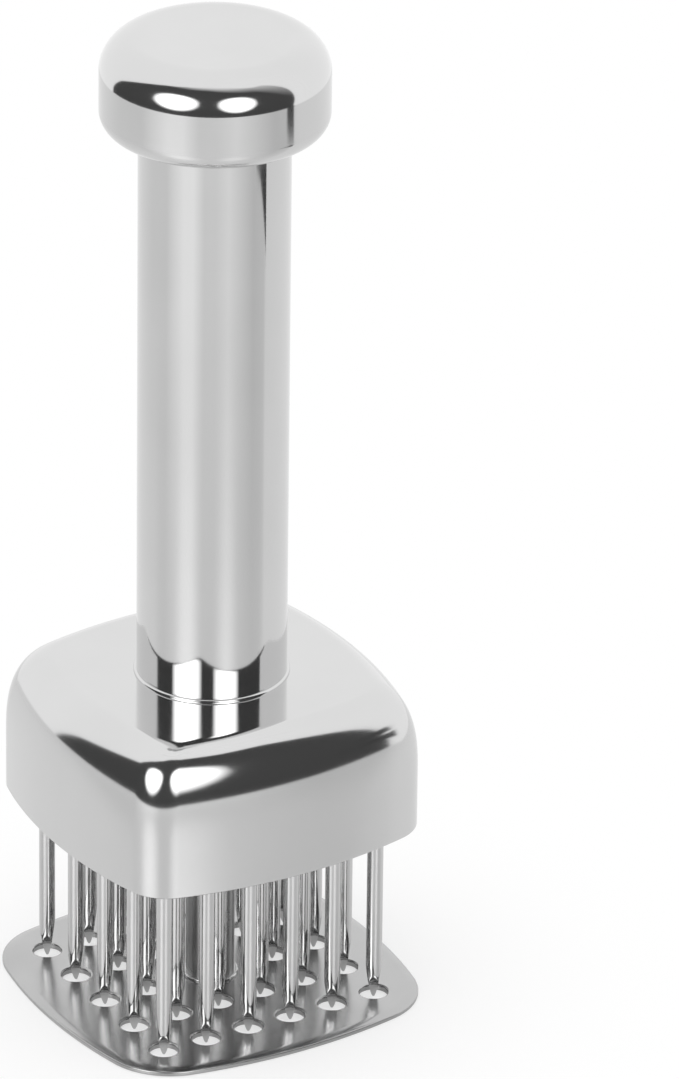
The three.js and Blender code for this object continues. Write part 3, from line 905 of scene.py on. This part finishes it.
@dataclass
class NeedleBlock:
    """What holds the needles: carrier, backing plate, screws and guide bush.

    Attributes:
        side_radius: Radius of the housing's bulged sides at the rim.
        rim_corner: Radius of its corners there.
        housing_half_x: Half its width there.
        pitch: Distance between needles along X and Y.
        counts: Places along X and Y, with the two that the post takes up.
        needle_bore: Diameter of the carrier's holes.
        bore_round: Rounding of their top edges.
        head_recess: Radius and depth of the recess for a needle's head.
        edge_round: Rounding of the carrier's outer edge.
        bush_across_flats: Size of the bush's hexagon.
        bush_flange_height: Height of the bush's flange.
        bush_sleeve: Diameter of its sleeve.
        bush_fit: Gap between sleeve and carrier.
        bush_bore: Diameter of its bore.
        bore_chamfer: Chamfer of the bore's lower end.
        flange_chamfer: Rows of the flange's lower edge: inset from the flats, and height.
        bush_columns: Points round the bush.
    """

    side_radius: float = 84.0
    rim_corner: float = 8.0
    housing_half_x: float = 29.8
    pitch: tuple[float, float] = (8.1, 9.9)
    counts: tuple[int, int] = (6, 5)
    needle_bore: float = 2.8
    bore_round: float = 0.1
    head_recess: tuple[float, float] = (2.2, 1.6)
    edge_round: float = 0.2
    bush_across_flats: float = 13.6
    bush_flange_height: float = 1.2
    bush_sleeve: float = 11.0
    bush_fit: float = 0.1
    bush_bore: float = 8.4
    bore_chamfer: float = 0.25
    flange_chamfer: tuple[tuple[float, float], ...] = ((0.15, 0.0), (0.04, 0.3), (0.0, 0.4))
    bush_columns: int = 72

    def build_carrier(self) -> None:
        """Builds the carrier that fills the housing's mouth."""
        low, high = cad_box("needle_carrier")
        inset = self.housing_half_x - high[0]
        outline = BulgedSquare(high[0], high[1], self.side_radius - inset, self.rim_corner - inset)
        sheet = DrilledSheet(outline, low[2], high[2], self.needle_bore / 2, self.bore_round,
                             self.bush_sleeve / 2 + self.bush_fit, self.edge_round, recess=self.head_recess)
        made = sheet.skin(needle_places(), self.pitch, self.counts).piece("carrier_sheet")
        dress(made, "needle_carrier", PRESS_HEAD)

    def build_bush(self) -> None:
        """Builds the bush: hexagon flange below, sleeve above, one bore.

        A hexagon's radius is half its size across flats over the cosine of the angle from the nearest
        flat's middle. The flange is chamfered to a circle below.
        """
        low, high = cad_box("guide_bush")
        flange_top = low[2] + self.bush_flange_height
        apothem, sleeve, bore = self.bush_across_flats / 2, self.bush_sleeve / 2, self.bush_bore / 2
        angle = 2 * math.pi * unit_steps(self.bush_columns)
        hexagon = 1 / np.cos((angle + math.pi / 6) % (math.pi / 3) - math.pi / 6)
        (foot, _), *flank = self.flange_chamfer
        rows = [(0, bore, high[2]), (0, bore, low[2] + self.bore_chamfer),
                (0, bore + self.bore_chamfer, low[2]), (0, apothem - foot, low[2]),
                *((1, apothem - inset, low[2] + rise) for inset, rise in flank),
                (1, apothem, flange_top), (0, sleeve, flange_top), (0, sleeve, high[2])]
        share, size, height = (np.array(column, float) for column in zip(*rows))
        reach = size[:, None] * np.where(share[:, None] > 0, hexagon, 1.0)
        grid = lift(np.stack([reach * np.cos(angle), reach * np.sin(angle)], axis=-1), height)
        dress(Skin().lay(grid, True).piece("bush_flanged"), "guide_bush", PRESS_HEAD)

    def build(self) -> None:
        """Builds the block; pieces that nobody sees keep their CAD solids."""
        self.build_carrier()
        self.build_bush()
        for node in ("backing_plate", *(f"carrier_screw_{i}" for i in range(1, 5))):
            dress_cad(node)


@dataclass
class Housing:
    """The deep-drawn cover over the needle block.

    Attributes:
        side_radius: Radius of the bulged sides at the rim.
        rim_corner: Radius of the corners at the rim.
        crown_corner: Radius of the corners at the flat top.
        corner_power: How the corners tighten over the curved edge.
        crown_side_radius: Radius of the sides at the flat top.
        side_power: How the sides' bulge grows over the curved edge.
        wall: Thickness of the sheet.
        crown_inset: How far the flat top is drawn in.
        crown_drop: Height of the curved edge.
        inset_power: Power of the inset's curve; 1 is an ellipse.
        rise_power: Power of the height's curve; 1 is an ellipse, less is squarer.
        rim_round: Rounding of the rim.
        rim_height: Height of the rows that carry the rim.
        tube_hole: Diameter of the hole for the handle.
        along: Points along one side.
        corner_steps: Points of half a corner.
        crown_rows: Rows of the curved edge.
        row_power: How much closer these rows lie near the skirt; at 1 they are even.
        flat_shares: Rows of the flat top, as shares of the way from its edge to the hole.
    """

    side_radius: float = 84.0
    rim_corner: float = 8.0
    crown_corner: float = 6.0
    corner_power: float = 0.6
    crown_side_radius: float = 79.0
    side_power: float = 0.6
    wall: float = 1.0
    crown_inset: float = 7.0
    crown_drop: float = 15.8
    inset_power: float = 1.09
    rise_power: float = 0.7
    rim_round: float = 0.25
    rim_height: float = 2.0
    tube_hole: float = 25.3
    along: int = 120
    corner_steps: int = 30
    crown_rows: int = 40
    row_power: float = 1.3
    flat_shares: tuple[float, ...] = (0.004, 0.35, 0.7, 1.0)

    def crown(self, shell: float, top: float) -> np.ndarray:
        """Works out the curved top edge, a quarter of a squared-off ellipse.

        With t from 0 to a quarter turn, the inset is d a with a = 1 - cos(t) ** p, and the height rises by
        h sin(t) ** q. The corners tighten and the sides bulge more on the way up, as powers of a.

        Args:
            shell: Distance below the outer face.
            top: Height of the housing's flat top.

        Returns:
            For each row: inset, corner radius, height and side radius.
        """
        turn = math.pi / 2 * np.linspace(0, 1, self.crown_rows) ** self.row_power
        share = 1 - np.cos(turn).clip(0, 1) ** self.inset_power
        inset = shell + (self.crown_inset - shell) * share
        height = top - self.crown_drop + (self.crown_drop - shell) * np.sin(turn) ** self.rise_power
        start = self.rim_corner - shell
        corner = start + (self.crown_corner - start) * share ** self.corner_power
        side = self.side_radius + (self.crown_side_radius - self.side_radius) * share ** self.side_power
        return np.column_stack([inset, corner, height, side])

    def foot(self, low: float) -> np.ndarray:
        """Works out the rim, from the inner wall round its edge to the outer wall.

        Args:
            low: Height of its edge.

        Returns:
            For each row: inset, corner radius, height and side radius.
        """
        top = low + self.rim_height
        inset, height = rounded([(self.wall, top, 0), (self.wall, low, self.rim_round),
                                 (0, low, self.rim_round), (0, top, 0)], False).T
        side = np.full(len(inset), self.side_radius)
        return np.column_stack([inset, self.rim_corner - inset, height, side])

    def build(self) -> None:
        """Builds the shell as one closed wall: rim, skirt, curved edge, flat top, and back inside.

        On the flat top each point runs straight from the curved edge to the hole.
        """
        low, high = cad_box("housing_shell")
        outline = BulgedSquare(high[0], high[1], self.side_radius, self.rim_corner)
        outer, inner = self.crown(0.0, high[2]), self.crown(self.wall, high[2])
        rows = np.concatenate([self.foot(low[2]), outer, inner[::-1]])
        inset, corner, height, side = rows.T
        loops = outline.loops(inset, corner, self.along, self.along, self.corner_steps, side)
        half = len(rows) - self.crown_rows
        edge_out, edge_in = loops[half - 1], loops[half]
        hole = edge_out / np.linalg.norm(edge_out, axis=1, keepdims=True) * self.tube_hole / 2
        share = np.array(self.flat_shares)[:, None, None]
        flat_out = edge_out + (hole - edge_out) * share
        flat_in = edge_in + (hole - edge_in) * share
        grid = np.concatenate([loops[:half], flat_out, flat_in[::-1], loops[half:]])
        top = np.full(len(share), high[2])
        level = np.concatenate([height[:half], top, top - self.wall, height[half:]])
        dress(Skin().lay(lift(grid, level), True).piece("drawn_cover"), "housing_shell", PRESS_HEAD)


@dataclass
class Handle:
    """Tube, seam, knob and what is inside them.

    Attributes:
        tube_diameter: Outer diameter of the tube.
        tube_wall: Thickness of its wall.
        knob_diameter: Diameter of the knob.
        knob_wall: Thickness of its sheet.
        top_round: Rounding of the knob's top edge.
        bottom_round: Rounding of its lower edge.
        lip_width: How far its lip runs in past that rounding.
        lip_round: Rounding of the lip's edge.
        end_round: Rounding of the tube's ends.
        seam_sink: How far the seam reaches into the tube, and the rounding of its foot.
        seam_foot: How far it reaches down into the housing.
        seam_round: Rounding of its top.
        floor_fit: Gap between the knob's floor and the tube.
        floor_round: Rounding of the floor's edges.
        knob_steps: Segments of each rounding of the knob.
        columns: Points round each piece.
    """

    tube_diameter: float = 25.0
    tube_wall: float = 1.0
    knob_diameter: float = 37.7
    knob_wall: float = 1.2
    top_round: float = 5.95
    bottom_round: float = 3.3
    lip_width: float = 0.6
    lip_round: float = 0.1
    end_round: float = 0.2
    seam_sink: float = 0.05
    seam_foot: float = 0.1
    seam_round: float = 0.4
    floor_fit: float = 0.05
    floor_round: float = 0.15
    knob_steps: int = 16
    columns: int = 144

    def build_ring(self, name: str, node: str, inner: float, outer: float, edge_round: float) -> None:
        """Builds a ring as high as its CAD node, with all four edges rounded.

        Args:
            name: The piece's name.
            node: The CAD node that it stands for.
            inner: Its inner radius.
            outer: Its outer radius.
            edge_round: Rounding of its edges.
        """
        low, high = cad_box(node)
        corners = ((inner, low[2]), (outer, low[2]), (outer, high[2]), (inner, high[2]))
        profile = rounded([(*corner, edge_round) for corner in corners], True)
        dress(Skin().lay(revolve(profile, self.columns), True).piece(name), node, PRESS_HEAD)

    def build_tube(self) -> None:
        """Builds the tube, open at both ends."""
        outer = self.tube_diameter / 2
        self.build_ring("grip_tube", "handle_tube", outer - self.tube_wall, outer, self.end_round)

    def build_seam(self) -> None:
        """Builds the bead where the tube meets the housing."""
        low, high = cad_box("seam_bead")
        inner, outer = self.tube_diameter / 2 - self.seam_sink, high[0]
        foot = low[2] - self.seam_foot
        profile = rounded([(inner, foot, 0), (outer, foot, self.seam_sink),
                           (outer, high[2], self.seam_round), (inner, high[2], 0)], True)
        dress(Skin().lay(revolve(profile, self.columns), True).piece("tube_seam"), "seam_bead", PRESS_HEAD)

    def build_knob(self) -> None:
        """Builds the knob: a drawn cup with a flat top and a lip turned in below."""
        low, high = cad_box("knob_cap")
        radius, wall = self.knob_diameter / 2, self.knob_wall
        lip = radius - self.bottom_round - self.lip_width
        profile = rounded([(0, high[2] - wall, 0), (radius - wall, high[2] - wall, self.top_round - wall),
                           (radius - wall, low[2] + wall, self.bottom_round - wall), (lip, low[2] + wall, 0),
                           (lip, low[2], self.lip_round), (radius, low[2], self.bottom_round),
                           (radius, high[2], self.top_round), (0, high[2], 0)], False, self.knob_steps)
        dress(Skin().lay(revolve(profile, self.columns)).piece("knob_cup"), "knob_cap", PRESS_HEAD)

    def build_floor(self) -> None:
        """Builds the ring that closes the knob below, round the tube."""
        inner, outer = self.tube_diameter / 2 + self.floor_fit, cad_box("knob_floor")[1][0]
        self.build_ring("knob_ring", "knob_floor", inner, outer, self.floor_round)

    def build(self) -> None:
        """Builds the handle; the plugs inside keep their CAD solids."""
        self.build_tube()
        self.build_seam()
        self.build_knob()
        self.build_floor()
        for node in ("tube_foot_plug", "knob_plug"):
            dress_cad(node)


# Studio and camera

@dataclass(frozen=True)
class Card:
    """An upright curved card of the studio, which only mirrored rays see.

    Attributes:
        name: Its name.
        stations: Along its width: azimuth in degrees, counted as in Studio, and the heights of its lower
            and upper edge above the floor, in millimetres.
        distance: From the object's axis, in millimetres.
        strength: Its brightness; 1 is white.
        vignette: How its light falls off across its width and height, and the height where it is
            brightest, from -1 at its foot to 1 at its top.
        columns: Points across its width.
        rows: Points up its height.
    """

    name: str
    stations: tuple[tuple[float, float, float], ...]
    distance: float
    strength: float
    vignette: tuple[float, float, float] = (0.0, 0.0, 0.0)
    columns: int = 49
    rows: int = 9

    def paint(self) -> bpy.types.Material:
        """Builds its glow, which thins out to clear: 1 - (a across)^2 - (b (rise - c))^2 of it is left.

        Across and rise run from -1 to 1 over the card, and its mesh carries them as "spot".

        Returns:
            The material.
        """
        glow = bpy.data.materials.new(self.name)
        glow.use_nodes = True
        tree = glow.node_tree
        tree.nodes.clear()
        across, rise, centre = self.vignette
        spot = add_node(tree, "ShaderNodeAttribute", attribute_name="spot").outputs["Vector"]
        aside = add_node(tree, "ShaderNodeVectorMath", {0: spot, 1: (0, centre, 0)}, operation="SUBTRACT")
        part = add_node(tree, "ShaderNodeVectorMath", {0: aside.outputs[0], 1: (across, rise, 0)},
                        operation="MULTIPLY").outputs[0]
        square = add_node(tree, "ShaderNodeVectorMath", {0: part, 1: part}, operation="DOT_PRODUCT")
        light = add_node(tree, "ShaderNodeEmission", {"Strength": self.strength})
        clear = add_node(tree, "ShaderNodeBsdfTransparent")
        both = add_node(tree, "ShaderNodeMixShader", {0: square.outputs["Value"], 1: light.outputs[0],
                                                      2: clear.outputs[0]})
        add_node(tree, "ShaderNodeOutputMaterial", {"Surface": both.outputs[0]})
        return glow

    def build(self, camera_azimuth_deg: float) -> None:
        """Builds the card as part of a cylinder round the object.

        Args:
            camera_azimuth_deg: Direction of the camera, anticlockwise from +X.
        """
        azimuth, low, high = np.array(self.stations).T
        spread = np.linspace(azimuth[0], azimuth[-1], self.columns)
        low, high = np.interp(spread, azimuth, low), np.interp(spread, azimuth, high)
        angle = np.radians(camera_azimuth_deg + spread)
        rise = np.linspace(0, 1, self.rows)[:, None]
        points = np.stack(np.broadcast_arrays(self.distance * np.cos(angle), self.distance * np.sin(angle),
                                              low + (high - low) * rise), axis=-1)
        index = np.arange(points[..., 0].size).reshape(points.shape[:2])
        quads = np.stack([index[:-1, :-1], index[:-1, 1:], index[1:, 1:], index[1:, :-1]], axis=-1)
        mesh = bpy.data.meshes.new(self.name)
        mesh.from_pydata((points.reshape(-1, 3) * MM).tolist(), [], quads.reshape(-1, 4).tolist())
        across = np.linspace(-1, 1, self.columns)
        spot = np.stack(np.broadcast_arrays(across, 2 * rise - 1, 0 * rise), axis=-1)
        marks = mesh.attributes.new("spot", "FLOAT_VECTOR", "POINT")
        marks.data.foreach_set("vector", spot.astype(np.float32).ravel())
        mesh.materials.append(self.paint())
        made = bpy.data.objects.new(self.name, mesh)
        bpy.context.scene.collection.objects.link(made)
        made.visible_camera = made.visible_diffuse = made.visible_shadow = made.visible_transmission = False


@dataclass
class Studio:
    """Table, tent and lamps. Azimuths run from the camera's direction, positive to the image's right.

    Attributes:
        camera_azimuth_deg: Direction of the camera, anticlockwise from +X.
        opening: Upper edge of the tent's open, dark side: azimuth and elevation, in degrees.
        opening_light: What the dark room sends back.
        opening_soft_deg: Width of the opening's soft edge.
        tent_light: Brightness of the white tent in a mirror; 1 is white.
        cards: Soft lamps in the opening, the dark gap between tent and table, and the tent's front edge.
        floor_radius: Radius of the table top, in millimetres.
        floor_drop: How far it lies below the part.
        floor_columns: Points round it.
        floor_colour: Its colour, sRGB hex.
        floor_mirrored: Its colour in a mirror.
        floor_ior: Refractive index of its gloss.
        floor_gloss: Roughness of its gloss.
        seen_glow: Least and most share of plain white in what the camera sees of it.
        seen_reach: Distances from the middle where these are reached, in millimetres.
        mirrored_glow: Least and most share of painted sheen in what steel mirrors of it.
        mirrored_reach: Distances from the middle where these are reached.
        table_light: That painted sheen, as azimuth in degrees and brightness. It is pale on the tent's
            side, darker before the opening and brighter again below each soft lamp, in round values that
            were tuned until the stripes on the tube came near those in the photo.
        world_strength: Brightness of the tent to the eye, and as it lights matt things.
        lamp_power: Power of the lamp overhead, in watts.
        lamp_size: Its diameter, in metres.
        lamp_place: Where it hangs, in metres.
    """

    camera_azimuth_deg: float
    opening: tuple[tuple[float, float], ...] = (
        (-180, -30), (-124, -30), (-119, -20), (-112, -4), (-105, 11), (-93, 27), (-82, 41), (-70, 53),
        (-50, 64), (-20, 72), (0, 73), (25, 70), (45, 63), (56, 59), (65, 58), (71, 57), (75, 49),
        (78.5, 34), (80.5, 18), (81.6, 0), (82, -30), (180, -30))
    opening_light: float = 0.07
    opening_soft_deg: float = 2.5
    tent_light: float = 1.08
    cards: tuple[Card, ...] = (
        Card("left_softbox", ((-62, 76, 534), (-15, 76, 534)), 450, 5.0, (0.95, 1.05, -0.05)),
        Card("right_softbox", ((2, 76, 534), (41, 76, 534)), 450, 4.5, (0.95, 1.05, -0.05)),
        Card("tent_gap", ((63, 69, 71), (70, 66, 71), (75, 61, 71), (79, 55, 71), (81.6, 50, 71)),
             200, 0.06),
        Card("tent_gap_upper", ((72.5, 80, 96), (76, 78, 96), (81, 77.2, 96)), 200, 0.06),
        Card("tent_front", ((-62, 235, 330), (-10, 249, 330), (42, 214, 330), (62.5, 177, 330),
                            (75, 163, 330), (86, 148, 330)), 64, 1.08, (0.0, 0.5, 1.0)))
    floor_radius: float = 440.0
    floor_drop: float = 0.05
    floor_columns: int = 96
    floor_colour: str = "#FFFFFF"
    floor_mirrored: str = "#EAEAEA"
    floor_ior: float = 2.0
    floor_gloss: float = 0.28
    seen_glow: tuple[float, float] = (0.6, 1.0)
    seen_reach: tuple[float, float] = (30.0, 90.0)
    mirrored_glow: tuple[float, float] = (0.2, 1.0)
    mirrored_reach: tuple[float, float] = (90.0, 320.0)
    table_light: tuple[tuple[float, float], ...] = (
        (-180, 0.95), (-124, 0.85), (-105, 0.8), (-75, 0.8), (-62, 0.95), (-46, 1.1), (-31, 1.1),
        (-15, 0.85), (2, 0.85), (21, 0.95), (41, 0.8), (60, 0.65), (79, 0.7), (83, 0.85), (180, 0.95))
    world_strength: float = 1.0
    lamp_power: float = 1.5
    lamp_size: float = 0.9
    lamp_place: tuple[float, float, float] = (-0.5, 0.3, 1.3)

    def by_azimuth(self, tree: bpy.types.NodeTree, place: bpy.types.NodeSocket,
                   points: tuple[tuple[float, float], ...],
                   span: tuple[float, float]) -> bpy.types.NodeSocket:
        """Adds a value that depends on the direction round the object, in straight runs.

        Args:
            tree: The node tree.
            place: The point or direction that is looked at.
            points: Azimuth in degrees and the value there, from -180 to 180 degrees.
            span: Least and most value that there can be.

        Returns:
            The value.
        """
        low, high = span
        shares = [(angle / 360 + 0.5, (value - low) / (high - low)) for angle, value in points]
        turned = add_node(tree, "ShaderNodeMapping",
                          {"Vector": place, "Rotation": (0, 0, -math.radians(self.camera_azimuth_deg))})
        parts = add_node(tree, "ShaderNodeSeparateXYZ", {0: turned.outputs[0]})
        around = add_node(tree, "ShaderNodeMath", {0: parts.outputs[1], 1: parts.outputs[0]},
                          operation="ARCTAN2")
        share = add_node(tree, "ShaderNodeMapRange", {0: around.outputs[0], 1: -math.pi, 2: math.pi})
        runs = add_node(tree, "ShaderNodeFloatCurve", {"Value": share.outputs[0]})
        curve = runs.mapping.curves[0]
        for corner in shares[1:-1]:
            curve.points.new(*corner)
        for point, corner in zip((curve.points[0], curve.points[-1]), (shares[0], shares[-1])):
            point.location = corner
        for point in curve.points:
            point.handle_type = "VECTOR"
        runs.mapping.update()
        return add_node(tree, "ShaderNodeMapRange", {0: runs.outputs[0], 3: low, 4: high}).outputs[0]

    def build_world(self) -> None:
        """Builds the white tent, whose dark open side only mirrored rays see."""
        world = bpy.data.worlds.new("white_tent")
        bpy.context.scene.world = world
        world.use_nodes = True
        tree = world.node_tree
        tree.nodes.clear()
        aim = add_node(tree, "ShaderNodeTexCoord").outputs["Generated"]
        edge = self.by_azimuth(tree, aim, self.opening, (-90, 90))
        parts = add_node(tree, "ShaderNodeSeparateXYZ", {0: aim})
        rise = add_node(tree, "ShaderNodeMath", {0: parts.outputs[2]}, operation="ARCSINE")
        level = add_node(tree, "ShaderNodeMath", {0: rise.outputs[0]}, operation="DEGREES")
        gap = add_node(tree, "ShaderNodeMath", {0: edge, 1: level.outputs[0]}, operation="SUBTRACT")
        light = add_node(tree, "ShaderNodeMapRange",
                         {0: gap.outputs[0], 1: 0.0, 2: self.opening_soft_deg, 3: self.tent_light,
                          4: self.opening_light}, interpolation_type="SMOOTHSTEP")
        glossy = add_node(tree, "ShaderNodeLightPath").outputs["Is Glossy Ray"]
        strength = add_node(tree, "ShaderNodeMix", {0: glossy, 2: self.world_strength, 3: light.outputs[0]})
        sky = add_node(tree, "ShaderNodeBackground",
                       {"Color": hex_colour("#FFFFFF"), "Strength": strength.outputs[0]})
        add_node(tree, "ShaderNodeOutputWorld", {"Surface": sky.outputs[0]})

    def build_floor(self) -> None:
        """Builds the round white table top: matt to the eye, with the gloss and sheen that steel mirrors.

        Glow keeps it pale to the eye, more so further out, and leaves a faint shadow beside the tool. In a
        mirror it is glossy near the tool, and further out it shows a painted sheen: a glow by azimuth that
        stands in for the light of tent and soft lamps on it.
        """
        rings = np.array([[0, -self.floor_drop], [self.floor_radius, -self.floor_drop]])
        made = Skin().lay(revolve(rings, self.floor_columns)).piece("floor")
        paint = bpy.data.materials.new("white_laminate")
        paint.use_nodes = True
        tree = paint.node_tree
        tree.nodes.clear()
        matt = add_node(tree, "ShaderNodeBsdfDiffuse", {"Color": hex_colour(self.floor_colour)})
        white = add_node(tree, "ShaderNodeEmission", {"Color": hex_colour(self.floor_colour)})
        gloss = add_node(tree, "ShaderNodeBsdfPrincipled", {
            "Base Color": hex_colour(self.floor_mirrored), "IOR": self.floor_ior,
            "Roughness": self.floor_gloss})
        place = add_node(tree, "ShaderNodeTexCoord").outputs["Object"]
        reach = add_node(tree, "ShaderNodeVectorMath", {0: place}, operation="LENGTH")
        glow, shine = (add_node(tree, "ShaderNodeMapRange", {
            0: reach.outputs["Value"], 1: span[0] * MM, 2: span[1] * MM, 3: share[0], 4: share[1]})
            for span, share in ((self.seen_reach, self.seen_glow),
                                (self.mirrored_reach, self.mirrored_glow)))
        seen = add_node(tree, "ShaderNodeMixShader", {0: glow.outputs[0], 1: matt.outputs[0],
                                                      2: white.outputs[0]})
        # Painted sheen: in mirrored rays the table glows by azimuth, brighter below each soft lamp.
        brightest = max(light for _, light in self.table_light)
        light = self.by_azimuth(tree, place, self.table_light, (0.0, brightest))
        sheen = add_node(tree, "ShaderNodeEmission", {"Strength": light})
        glint = add_node(tree, "ShaderNodeMixShader", {0: shine.outputs[0], 1: gloss.outputs[0],
                                                       2: sheen.outputs[0]})
        rays = add_node(tree, "ShaderNodeLightPath")
        lit = add_node(tree, "ShaderNodeMixShader", {0: rays.outputs["Is Camera Ray"], 1: matt.outputs[0],
                                                     2: seen.outputs[0]})
        both = add_node(tree, "ShaderNodeMixShader", {0: rays.outputs["Is Glossy Ray"], 1: lit.outputs[0],
                                                      2: glint.outputs[0]})
        add_node(tree, "ShaderNodeOutputMaterial", {"Surface": both.outputs[0]})
        made.data.materials.append(paint)

    def build_lamp(self) -> None:
        """Builds one large soft lamp overhead, which grounds the tool with a faint shadow."""
        lamp = bpy.data.lights.new("overhead_softbox", "AREA")
        lamp.shape = "DISK"
        lamp.size = self.lamp_size
        lamp.energy = self.lamp_power
        made = bpy.data.objects.new("overhead_softbox", lamp)
        made.location = self.lamp_place
        made.rotation_euler = (-made.location).to_track_quat("-Z", "Y").to_euler()
        made.visible_glossy = False
        bpy.context.scene.collection.objects.link(made)

    def build(self) -> None:
        """Builds the studio."""
        self.build_world()
        self.build_floor()
        self.build_lamp()
        for card in self.cards:
            card.build(self.camera_azimuth_deg)
        bpy.context.scene.view_settings.view_transform = "Standard"


@dataclass
class PhotoCamera:
    """The camera, placed as the photograph was taken.

    Attributes:
        target: Point that it was fitted on, in millimetres.
        distance: From the target.
        azimuth_deg: Its direction from the -Y axis, positive towards +X.
        elevation_deg: Its height above the horizon.
        roll_deg: How far it leans.
        focal_px: Focal length in pixels of the photograph.
        frame_px: The photograph's width and height.
        target_px: Where the target lies in the photograph.
        sensor_mm: Length of the sensor along the frame's longer side.
    """

    target: tuple[float, float, float] = (0.0, 0.0, 95.0)
    distance: float = 1700.0
    azimuth_deg: float = -30.2
    elevation_deg: float = 26.0
    roll_deg: float = 0.35
    focal_px: float = 10348.0
    frame_px: tuple[int, int] = (679, 1079)
    target_px: tuple[float, float] = (212.9, 468.7)
    sensor_mm: float = 36.0

    def build(self) -> None:
        """Builds the camera and makes it the scene's.

        It looks past the target by the target's distance from the frame's middle, and leans by the roll.
        """
        azimuth, elevation, roll = map(math.radians, (self.azimuth_deg, self.elevation_deg, self.roll_deg))
        back = np.array([math.sin(azimuth) * math.cos(elevation), -math.cos(azimuth) * math.cos(elevation),
                         math.sin(elevation)])
        right = np.array([math.cos(azimuth), math.sin(azimuth), 0.0])
        up = np.cross(back, right)
        wide, deep = (size / 2 - at for size, at in zip(self.frame_px, self.target_px))
        across = wide * math.cos(roll) + deep * math.sin(roll)
        down = deep * math.cos(roll) - wide * math.sin(roll)
        look = -back + right * across / self.focal_px - up * down / self.focal_px
        look /= np.linalg.norm(look)
        side = right * math.cos(roll) + up * math.sin(roll)
        side -= look * (side @ look)
        side /= np.linalg.norm(side)
        over = np.cross(side, look)
        data = bpy.data.cameras.new("photo_camera")
        data.sensor_width = self.sensor_mm
        data.lens = self.focal_px * self.sensor_mm / max(self.frame_px)
        made = bpy.data.objects.new("photo_camera", data)
        turn = Matrix(np.column_stack([side, over, -look]).tolist()).to_4x4()
        place = Vector((np.array(self.target) + back * self.distance) * MM)
        made.matrix_world = Matrix.Translation(place) @ turn
        bpy.context.scene.collection.objects.link(made)
        bpy.context.scene.camera = made


def main() -> None:
    """Builds everything in order."""
    logging.basicConfig(level=logging.INFO, format="%(name)s: %(message)s")
    camera = PhotoCamera()
    camera.build()
    Studio(camera_azimuth_deg=camera.azimuth_deg - 90).build()
    for part in (Base(), ReturnSpring(), Needles(), NeedleBlock(), Housing(), Handle()):
        part.build()


if __name__ == "__main__":
    main()
